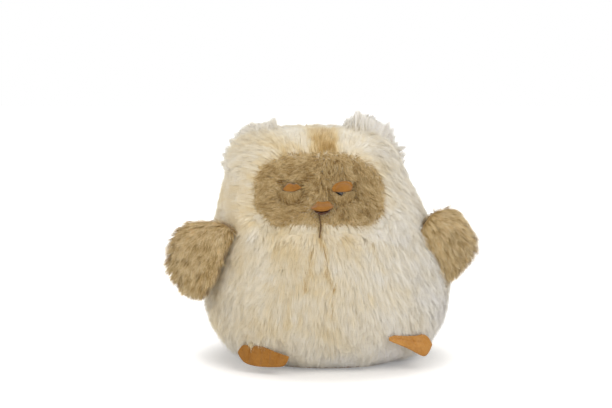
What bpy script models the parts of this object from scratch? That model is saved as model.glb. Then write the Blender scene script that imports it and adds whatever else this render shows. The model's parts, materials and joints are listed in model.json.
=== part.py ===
"""A sitting plush owl of long cream fur with a short tan face, tan wings and suede trim.

Metres, +Z up. The owl faces -Y, its left and right are the viewer's, and the origin is the
middle of the underside of its base panel.
"""

import math

import bmesh
import bpy
from mathutils import Matrix, Vector
from mathutils.bvhtree import BVHTree

LEFT = -1
RIGHT = 1

# Clearances
SEAM_GAP = 0.0003
CUT_OVERRUN = 0.02
SWING_STEPS = 6

# Body, one pear shape for trunk and head, measured over the combed fur
BODY_HEIGHT = 0.139
BODY_HALF_WIDTH = 0.072
BODY_FRONT_DEPTH = 0.061
BODY_BACK_DEPTH = 0.058
BODY_SQUARENESS = 2.25
HEAD_LEAN = -0.0088
LEAN_START_SHARE = 0.30
FUR_DEPTH = 0.009
SIDE_SEAM_Y = 0.004
BODY_SEGMENTS = 40
BODY_RINGS = 28

# Radius and height up the side of the body, from the middle of its base to its crown
PROFILE_SHARES = (
    (0.0, 0.0),
    (0.34, 0.0),
    (0.595, 0.0),
    (0.70, 0.03),
    (0.83, 0.075),
    (0.925, 0.14),
    (0.985, 0.22),
    (1.0, 0.31),
    (0.985, 0.42),
    (0.94, 0.54),
    (0.875, 0.65),
    (0.80, 0.75),
    (0.745, 0.84),
    (0.70, 0.91),
    (0.60, 0.965),
    (0.36, 0.995),
    (0.0, 1.0),
)

# Base panel of suede, let into the fur
BASE_SHARE = 0.57
BASE_THICKNESS = 0.002

# Face panel, set back between the longer fur round it and tipped up
FACE_X = -0.0045
FACE_Z = 0.1070
FACE_PITCH = math.radians(20)
FACE_HALF_WIDTH = 0.0402
FACE_HALF_HEIGHT = 0.0242
FACE_CHIN_DROP = 0.0218
FACE_SQUARENESS = 2.9
FACE_RECESS = 0.0035
FACE_REACH = 0.024
FACE_SEGMENTS = 40

# Black eyes on stems, each held by a washer behind the hide, and their suede lids
EYE_LEFT_X = -0.0216
EYE_RIGHT_X = 0.0096
EYE_Z = 0.1050
EYE_RADIUS = 0.0042
EYE_DOME_HEIGHT = 0.0036
EYE_SINK = 0.002
STEM_RADIUS = 0.0015
STEM_TAIL = 0.0035
WASHER_RADIUS = 0.0055
WASHER_THICKNESS = 0.0012
WASHER_SINK = 0.0006
LID_THICKNESS = 0.0012
LID_DROOP = 0.0004
ROUND_STEPS = 20

# Beak, a diamond of suede folded across its middle
BEAK_X = -0.0033
BEAK_Z = 0.0955
BEAK_HALF_WIDTH = 0.0072
BEAK_TOP_HEIGHT = 0.0056
BEAK_LOWER_HEIGHT = 0.0036
BEAK_REACH = 0.0058
BEAK_SINK = 0.0010
BEAK_THICKNESS = 0.0011
BEAK_STEPS = 10

# Ear tufts on the corners of the crown
EAR_LEFT_X = -0.0420
EAR_RIGHT_X = 0.0240
EAR_Y = -0.004
EAR_HALF_WIDTH = 0.0130
EAR_HALF_DEPTH = 0.0100
EAR_LEFT_HEIGHT = 0.0070
EAR_RIGHT_HEIGHT = 0.0105
EAR_TAPER_SHARE = 0.28
EAR_TILT = math.radians(12)
EAR_SEGMENTS = 16
EAR_RINGS = 12

# Wings, stuffed pads sewn on at their upper inner corners
WING_LEFT_Z = 0.0835
WING_RIGHT_Z = 0.0855
WING_LEFT_DROOP = math.radians(9)
WING_RIGHT_DROOP = 0.0
WING_LEFT_TURN = math.radians(53)
WING_RIGHT_TURN = math.radians(62)
WING_LEFT_YAW = math.radians(20)
WING_RIGHT_YAW = math.radians(42)
WING_HALF_WIDTH = 0.0205
WING_HALF_HEIGHT = 0.0240
WING_HALF_THICKNESS = 0.0085
WING_FUR_DEPTH = 0.004
WING_CORNER_ANGLE = math.radians(146)
WING_CORNER_SPREAD = math.radians(27)
WING_CORNER_PULL = 0.0095
WING_HINGE_INSET = 0.003
WING_STAND_OFF = 0.0025
WING_RAISE = math.radians(50)
WING_SEGMENTS = 24
WING_RINGS = 12

# Feet, folded suede tabs sewn along their inner edges under the belly
FOOT_LEFT_TURN = math.radians(35)
FOOT_RIGHT_TURN = math.radians(45)
FOOT_LEFT_Z = 0.0150
FOOT_RIGHT_Z = 0.0220
FOOT_TILT = math.radians(52)
FOOT_LEFT_PITCH = math.radians(-8)
FOOT_RIGHT_PITCH = math.radians(1)
FOOT_LENGTH = 0.0270
FOOT_WIDTH = 0.0135
FOOT_ROOT_WIDTH = 0.0062
FOOT_FULLNESS = 0.70
FOOT_THICKNESS = 0.0034
FOOT_EDGE_ROUND = 0.0012
FOOT_STAND_OFF = 0.0008
FOOT_EDGE_STEPS = 8
FOOT_DROP = math.radians(10)
FOOT_LIFT = math.radians(45)
TOE_COUNT = 3
TOE_REACH = 0.0014
TOE_STEPS = 6

MATERIALS = {
    "cream_fur": ((0.63, 0.54, 0.38, 1.0), 0.95, 0.0),
    "tan_fur": ((0.34, 0.24, 0.12, 1.0), 0.95, 0.0),
    "suede": ((0.42, 0.20, 0.06, 1.0), 0.80, 0.0),
    "eye_black": ((0.01, 0.008, 0.007, 1.0), 0.15, 0.0),
    "washer_white": ((0.75, 0.75, 0.72, 1.0), 0.5, 0.0),
    "stuffing": ((0.80, 0.79, 0.76, 1.0), 1.0, 0.0),
}


def clear_scene():
    """Remove every object and mesh that the file starts with."""
    for thing in list(bpy.data.objects):
        bpy.data.objects.remove(thing, do_unlink=True)
    for mesh in list(bpy.data.meshes):
        bpy.data.meshes.remove(mesh)


def make_collection(name):
    """Add a collection to the scene."""
    collection = bpy.data.collections.new(name)
    bpy.context.scene.collection.children.link(collection)
    return collection


def make_material(name):
    """Make the Principled material of this name."""
    colour, roughness, metallic = MATERIALS[name]
    material = bpy.data.materials.new(name)
    material.use_nodes = True
    material.diffuse_color = colour
    shader = material.node_tree.nodes["Principled BSDF"]
    shader.inputs["Base Color"].default_value = colour
    shader.inputs["Roughness"].default_value = roughness
    shader.inputs["Metallic"].default_value = metallic
    return material


class Workshop:
    """Keeps the collections and materials, and adds pieces and cutters to them."""

    def __init__(self):
        self.parts = make_collection("plush_owl")
        self.cutters = make_collection("cutters")
        self.materials = {name: make_material(name) for name in MATERIALS}

    def piece(self, name, mesh, material, parent=None, place=None):
        """Add a sub-part in its material."""
        mesh.shade_smooth()
        mesh.set_sharp_from_angle(angle=math.radians(40))
        mesh.materials.append(self.materials[material])
        thing = bpy.data.objects.new(name, mesh)
        self.parts.objects.link(thing)
        self.put(thing, parent, place)
        return thing

    def cutter(self, name, mesh, parent=None, place=None):
        """Add a shape that only cuts others."""
        thing = bpy.data.objects.new(name, mesh)
        self.cutters.objects.link(thing)
        thing.hide_render = True
        thing.display_type = "WIRE"
        self.put(thing, parent, place)
        return thing

    def hinge(self, name, place):
        """Add an empty whose own X axis is a joint's axis."""
        empty = bpy.data.objects.new(name, None)
        empty.empty_display_size = WING_HALF_WIDTH
        self.parts.objects.link(empty)
        empty.matrix_world = place
        return empty

    @staticmethod
    def put(thing, parent, place):
        """Set a thing's place in the world, under its parent if it has one."""
        place = place if place is not None else Matrix.Identity(4)
        if parent is not None:
            thing.parent = parent
            thing.matrix_parent_inverse = parent.matrix_world.inverted()
        thing.matrix_basis = place


def cut(thing, operation, *cutters):
    """Add one exact Boolean for each cutter."""
    for cutter in cutters:
        boolean = thing.modifiers.new(f"{operation.lower()} {cutter.name}", "BOOLEAN")
        boolean.operation = operation
        boolean.solver = "EXACT"
        boolean.object = cutter


def mesh_from(bm, name, closed=True):
    """Turn a bmesh into a mesh, with its faces outward if it is closed."""
    bm.normal_update()
    if closed:
        bmesh.ops.recalc_face_normals(bm, faces=bm.faces)
    mesh = bpy.data.meshes.new(name)
    bm.to_mesh(mesh)
    bm.free()
    return mesh


def box_mesh(name, low, high):
    """Make a box between two corners."""
    bm = bmesh.new()
    bmesh.ops.create_cube(bm, size=1.0)
    low, high = Vector(low), Vector(high)
    for vertex in bm.verts:
        share = vertex.co + Vector((0.5, 0.5, 0.5))
        vertex.co = Vector(a + (b - a) * s for a, b, s in zip(low, high, share))
    return mesh_from(bm, name)


def shaped_sphere(name, segments, rings, shape):
    """Make a unit sphere and move each of its points by a function."""
    bm = bmesh.new()
    bmesh.ops.create_uvsphere(bm, u_segments=segments, v_segments=rings, radius=1.0)
    for vertex in bm.verts:
        vertex.co = shape(vertex.co)
    return mesh_from(bm, name)


def turned(name, profile, closed=False):
    """Make a mesh object turned about its own Z from a profile of radius and height."""
    bm = bmesh.new()
    points = [bm.verts.new((radius, 0.0, height)) for radius, height in profile]
    for first, second in zip(points, points[1:]):
        bm.edges.new((first, second))
    if closed:
        bm.edges.new((points[-1], points[0]))
    mesh = bpy.data.meshes.new(name)
    bm.to_mesh(mesh)
    bm.free()
    return mesh


def add_screw(thing):
    """Turn a profile right round its Z axis."""
    screw = thing.modifiers.new("turned", "SCREW")
    screw.steps = ROUND_STEPS
    screw.render_steps = ROUND_STEPS
    screw.use_merge_vertices = True
    screw.merge_threshold = SEAM_GAP / ROUND_STEPS


def signed_power(value, power):
    """Raise the size of a number to a power and keep its sign."""
    return math.copysign(abs(value) ** power, value)


def smooth_step(value):
    """Ease from 0 to 1."""
    value = min(max(value, 0.0), 1.0)
    return value * value * (3.0 - 2.0 * value)


def smooth_through(points, place):
    """Give the point at a share of the way along a smooth curve through evenly spaced points."""
    last = len(points) - 1
    span = min(int(place * last), last - 1)
    part = place * last - span
    near = [Vector(points[min(max(i, 0), last)]) for i in range(span - 1, span + 3)]
    before, start, end, after = near
    return 0.5 * (
        2.0 * start
        + (end - before) * part
        + (2.0 * before - 5.0 * start + 4.0 * end - after) * part**2
        + (3.0 * start - before - 3.0 * end + after) * part**3
    )


def body_shape(trim, floor):
    """Give the function that maps a unit sphere to the body, thinner all round by a trim."""

    def shape(unit):
        climb = 1.0 - math.acos(min(max(unit.z, -1.0), 1.0)) / math.pi
        radius_share, height_share = smooth_through(PROFILE_SHARES, climb)
        radius_share = max(radius_share, 0.0)
        height_share = max(height_share, 0.0)
        flat = math.hypot(unit.x, unit.y)
        across = signed_power(unit.x / flat, 2.0 / BODY_SQUARENESS) if flat else 0.0
        along = signed_power(unit.y / flat, 2.0 / BODY_SQUARENESS) if flat else 0.0
        depth = BODY_FRONT_DEPTH if unit.y < 0 else BODY_BACK_DEPTH
        lean = HEAD_LEAN * smooth_step((height_share - LEAN_START_SHARE) / (1.0 - LEAN_START_SHARE))
        return Vector((
            lean + (BODY_HALF_WIDTH - trim) * radius_share * across,
            (depth - trim) * radius_share * along,
            floor + (BODY_HEIGHT - trim - floor) * height_share,
        ))

    return shape


def body_mesh(name, trim, floor):
    """Make the body's form, thinner by a trim and with its base at a floor height."""
    return shaped_sphere(name, BODY_SEGMENTS, BODY_RINGS, body_shape(trim, floor))


def surface_of(mesh):
    """Make a search tree of a mesh."""
    bm = bmesh.new()
    bm.from_mesh(mesh)
    tree = BVHTree.FromBMesh(bm)
    bm.free()
    return tree


class Body:
    """The body's nested forms, and where pieces sit on them."""

    def __init__(self, shop):
        self.outer = body_mesh("body_outer", 0.0, 0.0)
        self.face = body_mesh("body_face", FACE_RECESS, BASE_THICKNESS)
        self.inner = body_mesh("body_inner", FUR_DEPTH, BASE_THICKNESS)
        self.fill = body_mesh("body_fill", FUR_DEPTH + SEAM_GAP, BASE_THICKNESS + SEAM_GAP)
        self.outer_surface = surface_of(self.outer)
        self.face_surface = surface_of(self.face)
        self.inner_surface = surface_of(self.inner)
        self.inner_cutter = shop.cutter("body_inner_cutter", self.inner)
        self.clear_cutter = shop.cutter("body_clear", body_mesh("body_clear", -SEAM_GAP, -SEAM_GAP))

    def beside(self, turn, height):
        """Give the outer surface's point and normal at a turn from the front and a height."""
        axis = Vector((0.0, 0.0, height))
        out = Vector((math.sin(turn), -math.cos(turn), 0.0))
        start = axis + out * (BODY_HALF_WIDTH + CUT_OVERRUN)
        point, normal, _, _ = self.outer_surface.ray_cast(start, -out)
        return point, normal

    def crown(self, x, y):
        """Give the outer surface's point above a place in plan."""
        start = Vector((x, y, BODY_HEIGHT + CUT_OVERRUN))
        point, _, _, _ = self.outer_surface.ray_cast(start, Vector((0.0, 0.0, -1.0)))
        return point

    def through_swing(self, shop, name, margin, root, axis, low, high):
        """Place the body with a margin everywhere that a piece meets it as it turns about an axis."""
        form = body_mesh(f"{name}_form", -margin, -margin)
        cutters = []
        for step in range(SWING_STEPS + 1):
            turn = low + (high - low) * step / SWING_STEPS
            back = Matrix.Translation(root) @ Matrix.Rotation(-turn, 4, axis) @ Matrix.Translation(-root)
            cutters.append(shop.cutter(f"{name}_{step}", form, place=back))
        return cutters


def face_direction():
    """The way that the face looks."""
    return Vector((0.0, -math.cos(FACE_PITCH), math.sin(FACE_PITCH)))


def on_face(surface, x, z):
    """Give a surface's point and normal in front of a place."""
    start = Vector((x, -BODY_FRONT_DEPTH - CUT_OVERRUN, z))
    point, normal, _, _ = surface.ray_cast(start, Vector((0.0, 1.0, 0.0)))
    return point, normal


def frame(place, x_axis, z_axis):
    """Make a transform from a place, an X axis and a Z axis."""
    z_axis = z_axis.normalized()
    y_axis = z_axis.cross(x_axis).normalized()
    x_axis = y_axis.cross(z_axis)
    axes = Matrix((x_axis, y_axis, z_axis)).transposed()
    return Matrix.Translation(place) @ axes.to_4x4()


def face_prism(name, margin):
    """Make the face's outline as a prism along its own Z, with a flat chin."""
    bm = bmesh.new()
    bmesh.ops.create_cone(
        bm, cap_ends=True, segments=FACE_SEGMENTS, radius1=1.0, radius2=1.0, depth=2.0)
    power = 2.0 / FACE_SQUARENESS
    for vertex in bm.verts:
        across = (FACE_HALF_WIDTH + margin) * signed_power(vertex.co.x, power)
        up = (FACE_HALF_HEIGHT + margin) * signed_power(vertex.co.y, power)
        depth = CUT_OVERRUN if vertex.co.z > 0 else -FACE_REACH
        vertex.co = (across, max(up, -FACE_CHIN_DROP - margin), depth)
    return mesh_from(bm, name)


def add_body(shop, body):
    """Add the fur panels, the base panel, the face panel and the stuffing."""
    half_gap = SEAM_GAP / 2.0
    seam_tilt = Matrix.Rotation(math.atan2(HEAD_LEAN, BODY_HEIGHT), 4, "Y")
    reach = BODY_HALF_WIDTH + CUT_OVERRUN
    top = BODY_HEIGHT + CUT_OVERRUN
    regions = {
        "front_panel_left": ((-reach, -reach, -CUT_OVERRUN), (-half_gap, SIDE_SEAM_Y - half_gap, top)),
        "front_panel_right": ((half_gap, -reach, -CUT_OVERRUN), (reach, SIDE_SEAM_Y - half_gap, top)),
        "back_panel": ((-reach, SIDE_SEAM_Y + half_gap, -CUT_OVERRUN), (reach, reach, top)),
    }
    face_place, _ = on_face(body.outer_surface, FACE_X, FACE_Z)
    face_frame = frame(face_place, Vector((1.0, 0.0, 0.0)), face_direction())
    opening = shop.cutter("face_opening", face_prism("face_opening", SEAM_GAP), place=face_frame)
    outline = shop.cutter("face_outline", face_prism("face_outline", 0.0), place=face_frame)
    base_hole = shop.cutter("base_opening", base_mesh("base_opening", SEAM_GAP, CUT_OVERRUN, CUT_OVERRUN))
    for name, (low, high) in regions.items():
        region = shop.cutter(f"{name}_region", box_mesh(f"{name}_region", low, high), place=seam_tilt)
        panel = shop.piece(name, body.outer.copy(), "cream_fur")
        cut(panel, "INTERSECT", region)
        cut(panel, "DIFFERENCE", body.inner_cutter)
        if name != "back_panel":
            cut(panel, "DIFFERENCE", opening)
        cut(panel, "DIFFERENCE", base_hole)
    face = shop.piece("face_panel", body.face.copy(), "tan_fur")
    cut(face, "INTERSECT", outline)
    cut(face, "DIFFERENCE", body.inner_cutter)
    shop.piece("base_panel", base_mesh("base_panel", 0.0, 0.0, BASE_THICKNESS), "suede")
    stuffing = shop.piece("body_stuffing", body.fill.copy(), "stuffing")
    return face, stuffing


def base_mesh(name, margin, below, above):
    """Make the base panel's outline, a share of the body's, as a flat disc."""
    bm = bmesh.new()
    bmesh.ops.create_cone(
        bm, cap_ends=True, segments=BODY_SEGMENTS, radius1=1.0, radius2=1.0, depth=2.0)
    power = 2.0 / BODY_SQUARENESS
    for vertex in bm.verts:
        depth = BODY_FRONT_DEPTH if vertex.co.y < 0 else BODY_BACK_DEPTH
        vertex.co = (
            (BODY_HALF_WIDTH * BASE_SHARE + margin) * signed_power(vertex.co.x, power),
            (depth * BASE_SHARE + margin) * signed_power(vertex.co.y, power),
            above if vertex.co.z > 0 else -below,
        )
    return mesh_from(bm, name)


def quarter_arc(radius, height, steps):
    """Give the points of a dome's side, from its top down to its rim."""
    turns = [math.pi / 2.0 * i / steps for i in range(steps + 1)]
    return [(radius * math.sin(turn), height * math.cos(turn)) for turn in turns]


def add_eye(shop, body, side, x, face, stuffing):
    """Add an eye, its washer and its lid, and make room for them in the face and stuffing."""
    word = "left" if side == LEFT else "right"
    seat, normal = on_face(body.face_surface, x, EYE_Z)
    back, _, _, _ = body.inner_surface.ray_cast(seat, -normal)
    wall = (seat - back).length - EYE_SINK
    place = frame(seat - normal * EYE_SINK, Vector((1.0, 0.0, 0.0)), normal)
    tail = wall + WASHER_THICKNESS + STEM_TAIL
    dome = quarter_arc(EYE_RADIUS, EYE_DOME_HEIGHT, ROUND_STEPS // 3)
    dome = [(radius, height + SEAM_GAP) for radius, height in dome]
    profile = dome + [(STEM_RADIUS, SEAM_GAP), (STEM_RADIUS, -tail), (0.0, -tail)]
    add_screw(shop.piece(f"eye_{word}", turned(f"eye_{word}", profile), "eye_black", place=place))

    hole = STEM_RADIUS + SEAM_GAP
    washer_top = -wall + WASHER_SINK
    washer_profile = (
        (hole, washer_top),
        (WASHER_RADIUS, washer_top),
        (WASHER_RADIUS, washer_top - WASHER_THICKNESS),
        (hole, washer_top - WASHER_THICKNESS),
    )
    washer_mesh = turned(f"eye_washer_{word}", washer_profile, closed=True)
    add_screw(shop.piece(f"eye_washer_{word}", washer_mesh, "washer_white", place=place))

    lid_radius = EYE_RADIUS + SEAM_GAP + LID_THICKNESS
    pocket = WASHER_RADIUS + SEAM_GAP
    bore_profile = (
        (0.0, CUT_OVERRUN),
        (lid_radius + SEAM_GAP, CUT_OVERRUN),
        (lid_radius + SEAM_GAP, 0.0),
        (hole, 0.0),
        (hole, washer_top + SEAM_GAP),
        (pocket, washer_top + SEAM_GAP),
        (pocket, -tail - SEAM_GAP),
        (0.0, -tail - SEAM_GAP),
    )
    bore = shop.cutter(f"eye_bore_{word}", turned(f"eye_bore_{word}", bore_profile), place=place)
    add_screw(bore)
    cut(face, "DIFFERENCE", bore)
    cut(stuffing, "DIFFERENCE", bore)
    add_lid(shop, word, lid_radius, place)


def add_lid(shop, word, lid_radius, place):
    """Add a suede lid, the upper half of a thin dome over an eye."""

    def dome(radius, height):
        return lambda unit: Vector((unit.x * radius, unit.y * radius, SEAM_GAP + unit.z * height))

    lid_height = EYE_DOME_HEIGHT + SEAM_GAP + LID_THICKNESS
    outer = shaped_sphere(f"eyelid_{word}", ROUND_STEPS, ROUND_STEPS // 2, dome(lid_radius, lid_height))
    hollow = shaped_sphere(
        f"eyelid_hollow_{word}", ROUND_STEPS, ROUND_STEPS // 2,
        dome(lid_radius - LID_THICKNESS, lid_height - LID_THICKNESS))
    wide = lid_radius + CUT_OVERRUN
    below = box_mesh(f"lid_line_{word}", (-wide, -wide, -wide), (wide, -LID_DROOP, wide))
    behind = box_mesh(f"lid_back_{word}", (-wide, -wide, -wide), (wide, wide, SEAM_GAP))
    lid = shop.piece(f"eyelid_{word}", outer, "suede", place=place)
    for mesh in (hollow, below, behind):
        cut(lid, "DIFFERENCE", shop.cutter(mesh.name, mesh, place=place))


def add_beak(shop, body, face):
    """Add the folded beak, which stands out most where the fold crosses its middle."""
    bm = bmesh.new()
    bmesh.ops.create_grid(bm, x_segments=BEAK_STEPS, y_segments=BEAK_STEPS, size=1.0)
    for vertex in bm.verts:
        across, up, _ = vertex.co
        narrowing = 1.0 - abs(up)
        height = BEAK_TOP_HEIGHT if up > 0 else BEAK_LOWER_HEIGHT
        rise = narrowing * (1.0 - across * across)
        vertex.co = (BEAK_HALF_WIDTH * across * narrowing, height * up, BEAK_REACH * rise)
    bmesh.ops.remove_doubles(bm, verts=bm.verts, dist=SEAM_GAP)
    mesh = mesh_from(bm, "beak", closed=False)
    seat, normal = on_face(body.face_surface, BEAK_X, BEAK_Z)
    place = frame(seat - normal * BEAK_SINK, Vector((1.0, 0.0, 0.0)), normal)
    beak = shop.piece("beak", mesh, "suede", place=place)
    solidify = beak.modifiers.new("leather", "SOLIDIFY")
    solidify.thickness = BEAK_THICKNESS
    solidify.offset = 1.0
    hollow = body_mesh("beak_seat", FACE_RECESS - SEAM_GAP, BASE_THICKNESS - SEAM_GAP)
    cut(beak, "DIFFERENCE", shop.cutter("beak_seat", hollow))


def add_ear(shop, body, side, x, height):
    """Add a tuft of longer fur that swells from the crown and tapers upward."""

    def shape(unit):
        taper = 1.0 - EAR_TAPER_SHARE * max(unit.z, 0.0)
        return Vector((
            EAR_HALF_WIDTH * unit.x * taper,
            EAR_HALF_DEPTH * unit.y * taper,
            height * unit.z,
        ))

    word = "left" if side == LEFT else "right"
    name = f"ear_tuft_{word}"
    place = Matrix.Translation(body.crown(x, EAR_Y)) @ Matrix.Rotation(side * EAR_TILT, 4, "Y")
    ear = shop.piece(name, shaped_sphere(name, EAR_SEGMENTS, EAR_RINGS, shape), "cream_fur", place=place)
    cut(ear, "DIFFERENCE", body.clear_cutter)


def wing_outline(angle, trim):
    """Give the wing's radius at an angle from outward, drawn out towards its sewn corner."""
    wide = WING_HALF_WIDTH - trim
    high = WING_HALF_HEIGHT - trim
    ellipse = 1.0 / math.hypot(math.cos(angle) / wide, math.sin(angle) / high)
    off = math.remainder(angle - WING_CORNER_ANGLE, math.tau)
    return ellipse + WING_CORNER_PULL * math.exp(-((off / WING_CORNER_SPREAD) ** 2))


def wing_mesh(name, side, trim):
    """Make the wing's pad round its hinge, its width along X and its thickness along Y."""
    reach = wing_outline(WING_CORNER_ANGLE, 0.0) - WING_HINGE_INSET
    middle_out = -reach * math.cos(WING_CORNER_ANGLE)
    middle_up = -reach * math.sin(WING_CORNER_ANGLE)

    def shape(unit):
        angle = math.atan2(unit.y, unit.x)
        radius = wing_outline(angle, trim) * math.hypot(unit.x, unit.y)
        return Vector((
            side * (middle_out + radius * math.cos(angle)),
            (WING_HALF_THICKNESS - trim) * unit.z,
            middle_up + radius * math.sin(angle),
        ))

    return shaped_sphere(name, WING_SEGMENTS, WING_RINGS, shape)


def add_wing(shop, body, side, turn, height, yaw, droop):
    """Add a wing's two fur panels and stuffing, clear of the body all through its swing."""
    word = "left" if side == LEFT else "right"
    point, normal = body.beside(side * turn, height)
    root = point + normal * WING_STAND_OFF
    out = Vector((side * math.cos(yaw), math.sin(yaw), 0.0))
    back = Vector((-side * math.sin(yaw), math.cos(yaw), 0.0))
    axis = back * -side
    hinge = shop.hinge(f"wing_{word}_hinge", frame(root, axis, Vector((0.0, 0.0, 1.0))))
    spread = Matrix((out * side, back, (0.0, 0.0, 1.0))).transposed().to_4x4()
    place = Matrix.Translation(root) @ Matrix.Rotation(-droop, 4, axis) @ spread


    def clear(part, margin):
        return body.through_swing(shop, f"wing_{word}_{part}_clear", margin, root, axis, 0.0, WING_RAISE)

    far = WING_HALF_WIDTH + WING_HALF_HEIGHT + WING_CORNER_PULL + CUT_OVERRUN
    half_gap = SEAM_GAP / 2.0
    halves = {
        "front": ((-far, -far, -far), (far, -half_gap, far)),
        "back": ((-far, half_gap, -far), (far, far, far)),
    }
    lining_name = f"wing_{word}_lining"
    lining = shop.cutter(lining_name, wing_mesh(lining_name, side, WING_FUR_DEPTH), hinge, place)
    cut(lining, "DIFFERENCE", *clear("lining", SEAM_GAP + WING_FUR_DEPTH))
    panel_clear = clear("panel", SEAM_GAP)
    for half, (low, high) in halves.items():
        name = f"wing_{word}_{half}_panel"
        region = shop.cutter(f"{name}_region", box_mesh(f"{name}_region", low, high), hinge, place)
        panel = shop.piece(name, wing_mesh(name, side, 0.0), "tan_fur", hinge, place)
        cut(panel, "INTERSECT", region)
        cut(panel, "DIFFERENCE", lining, *panel_clear)
    name = f"wing_{word}_stuffing"
    filling = shop.piece(name, wing_mesh(name, side, WING_FUR_DEPTH + SEAM_GAP), "stuffing", hinge, place)
    cut(filling, "DIFFERENCE", *clear("stuffing", SEAM_GAP + WING_FUR_DEPTH + SEAM_GAP))


def foot_outline():
    """Give the foot's outline: a straight seam, shallow round toes and a full lower edge."""
    shoulder = FOOT_LENGTH - TOE_REACH
    points = [(0.0, 0.0)]
    for step in range(TOE_COUNT * TOE_STEPS + 1):
        share = step / TOE_STEPS
        bulge = TOE_REACH * abs(math.sin(math.pi * share))
        points.append((shoulder + bulge, FOOT_WIDTH * share / TOE_COUNT))
    for step in range(1, FOOT_EDGE_STEPS + 1):
        share = 1.0 - step / FOOT_EDGE_STEPS
        drop = FOOT_ROOT_WIDTH + (FOOT_WIDTH - FOOT_ROOT_WIDTH) * share**FOOT_FULLNESS
        points.append((FOOT_ROOT_WIDTH + (shoulder - FOOT_ROOT_WIDTH) * share, drop))
    return points


def foot_mesh(name, side):
    """Make the foot as a flat outline with rounded edges, its seam along X."""
    curve = bpy.data.curves.new(name, "CURVE")
    curve.dimensions = "2D"
    curve.fill_mode = "BOTH"
    curve.extrude = FOOT_THICKNESS / 2.0 - FOOT_EDGE_ROUND
    curve.bevel_depth = FOOT_EDGE_ROUND
    curve.bevel_resolution = 2
    curve.offset = -FOOT_EDGE_ROUND
    points = foot_outline()
    spline = curve.splines.new("POLY")
    spline.points.add(len(points) - 1)
    for point, (x, y) in zip(spline.points, points):
        point.co = (side * x, -y, 0.0, 1.0)
    spline.use_cyclic_u = True
    holder = bpy.data.objects.new(name, curve)
    bpy.context.scene.collection.objects.link(holder)
    bpy.context.view_layer.update()
    evaluated = holder.evaluated_get(bpy.context.evaluated_depsgraph_get())
    mesh = bpy.data.meshes.new_from_object(evaluated)
    bpy.data.objects.remove(holder, do_unlink=True)
    bpy.data.curves.remove(curve)
    bm = bmesh.new()
    bm.from_mesh(mesh)
    bpy.data.meshes.remove(mesh)
    bmesh.ops.remove_doubles(bm, verts=bm.verts, dist=SEAM_GAP / 10.0)
    return mesh_from(bm, name)


def add_foot(shop, body, side, turn, height, pitch):
    """Add a foot along the belly's lower side, its free edge clear of the body as it lifts."""
    word = "left" if side == LEFT else "right"
    point, normal = body.beside(side * turn, height)
    away = Vector((normal.x, normal.y, 0.0)).normalized()
    along = Vector((-away.y, away.x, 0.0)) * side
    along = (along * math.cos(pitch) - Vector((0.0, 0.0, math.sin(pitch)))).normalized()
    middle = point + normal * FOOT_STAND_OFF
    root = middle - along * (FOOT_LENGTH / 2.0)
    axis = along * -side
    droop = away * math.cos(FOOT_TILT) - Vector((0.0, 0.0, math.sin(FOOT_TILT)))
    up = droop.cross(along * side)
    hinge = shop.hinge(f"foot_{word}_hinge", frame(root, axis, up))
    place = frame(root, along * side, up)
    name = f"foot_{word}"
    foot = shop.piece(name, foot_mesh(name, side), "suede", hinge, place)
    clear = body.through_swing(shop, f"{name}_clear", SEAM_GAP, root, axis, -FOOT_DROP, FOOT_LIFT)
    cut(foot, "DIFFERENCE", *clear)


def main():
    """Build the owl."""
    clear_scene()
    shop = Workshop()
    body = Body(shop)
    face, stuffing = add_body(shop, body)
    add_eye(shop, body, LEFT, EYE_LEFT_X, face, stuffing)
    add_eye(shop, body, RIGHT, EYE_RIGHT_X, face, stuffing)
    add_beak(shop, body, face)
    add_ear(shop, body, LEFT, EAR_LEFT_X, EAR_LEFT_HEIGHT)
    add_ear(shop, body, RIGHT, EAR_RIGHT_X, EAR_RIGHT_HEIGHT)
    add_wing(shop, body, LEFT, WING_LEFT_TURN, WING_LEFT_Z, WING_LEFT_YAW, WING_LEFT_DROOP)
    add_wing(shop, body, RIGHT, WING_RIGHT_TURN, WING_RIGHT_Z, WING_RIGHT_YAW, WING_RIGHT_DROOP)
    add_foot(shop, body, LEFT, FOOT_LEFT_TURN, FOOT_LEFT_Z, FOOT_LEFT_PITCH)
    add_foot(shop, body, RIGHT, FOOT_RIGHT_TURN, FOOT_RIGHT_Z, FOOT_RIGHT_PITCH)


main()
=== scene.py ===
"""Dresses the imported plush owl: hide and fur, suede lids, beak and feet, bead eyes, and a pale studio.

The pelt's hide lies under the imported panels, and the fur grows out of it to fill the space that they hold.
Lengths are in metres, +Z is up and the owl faces -Y. Left and right are the viewer's.
"""

import json
import logging
import math
from dataclasses import dataclass, field
from enum import Enum
from typing import Any, ClassVar, Iterable, Sequence

import bmesh
import bpy
import numpy as np
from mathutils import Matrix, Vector
from mathutils.bvhtree import BVHTree
from mathutils.kdtree import KDTree

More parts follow.
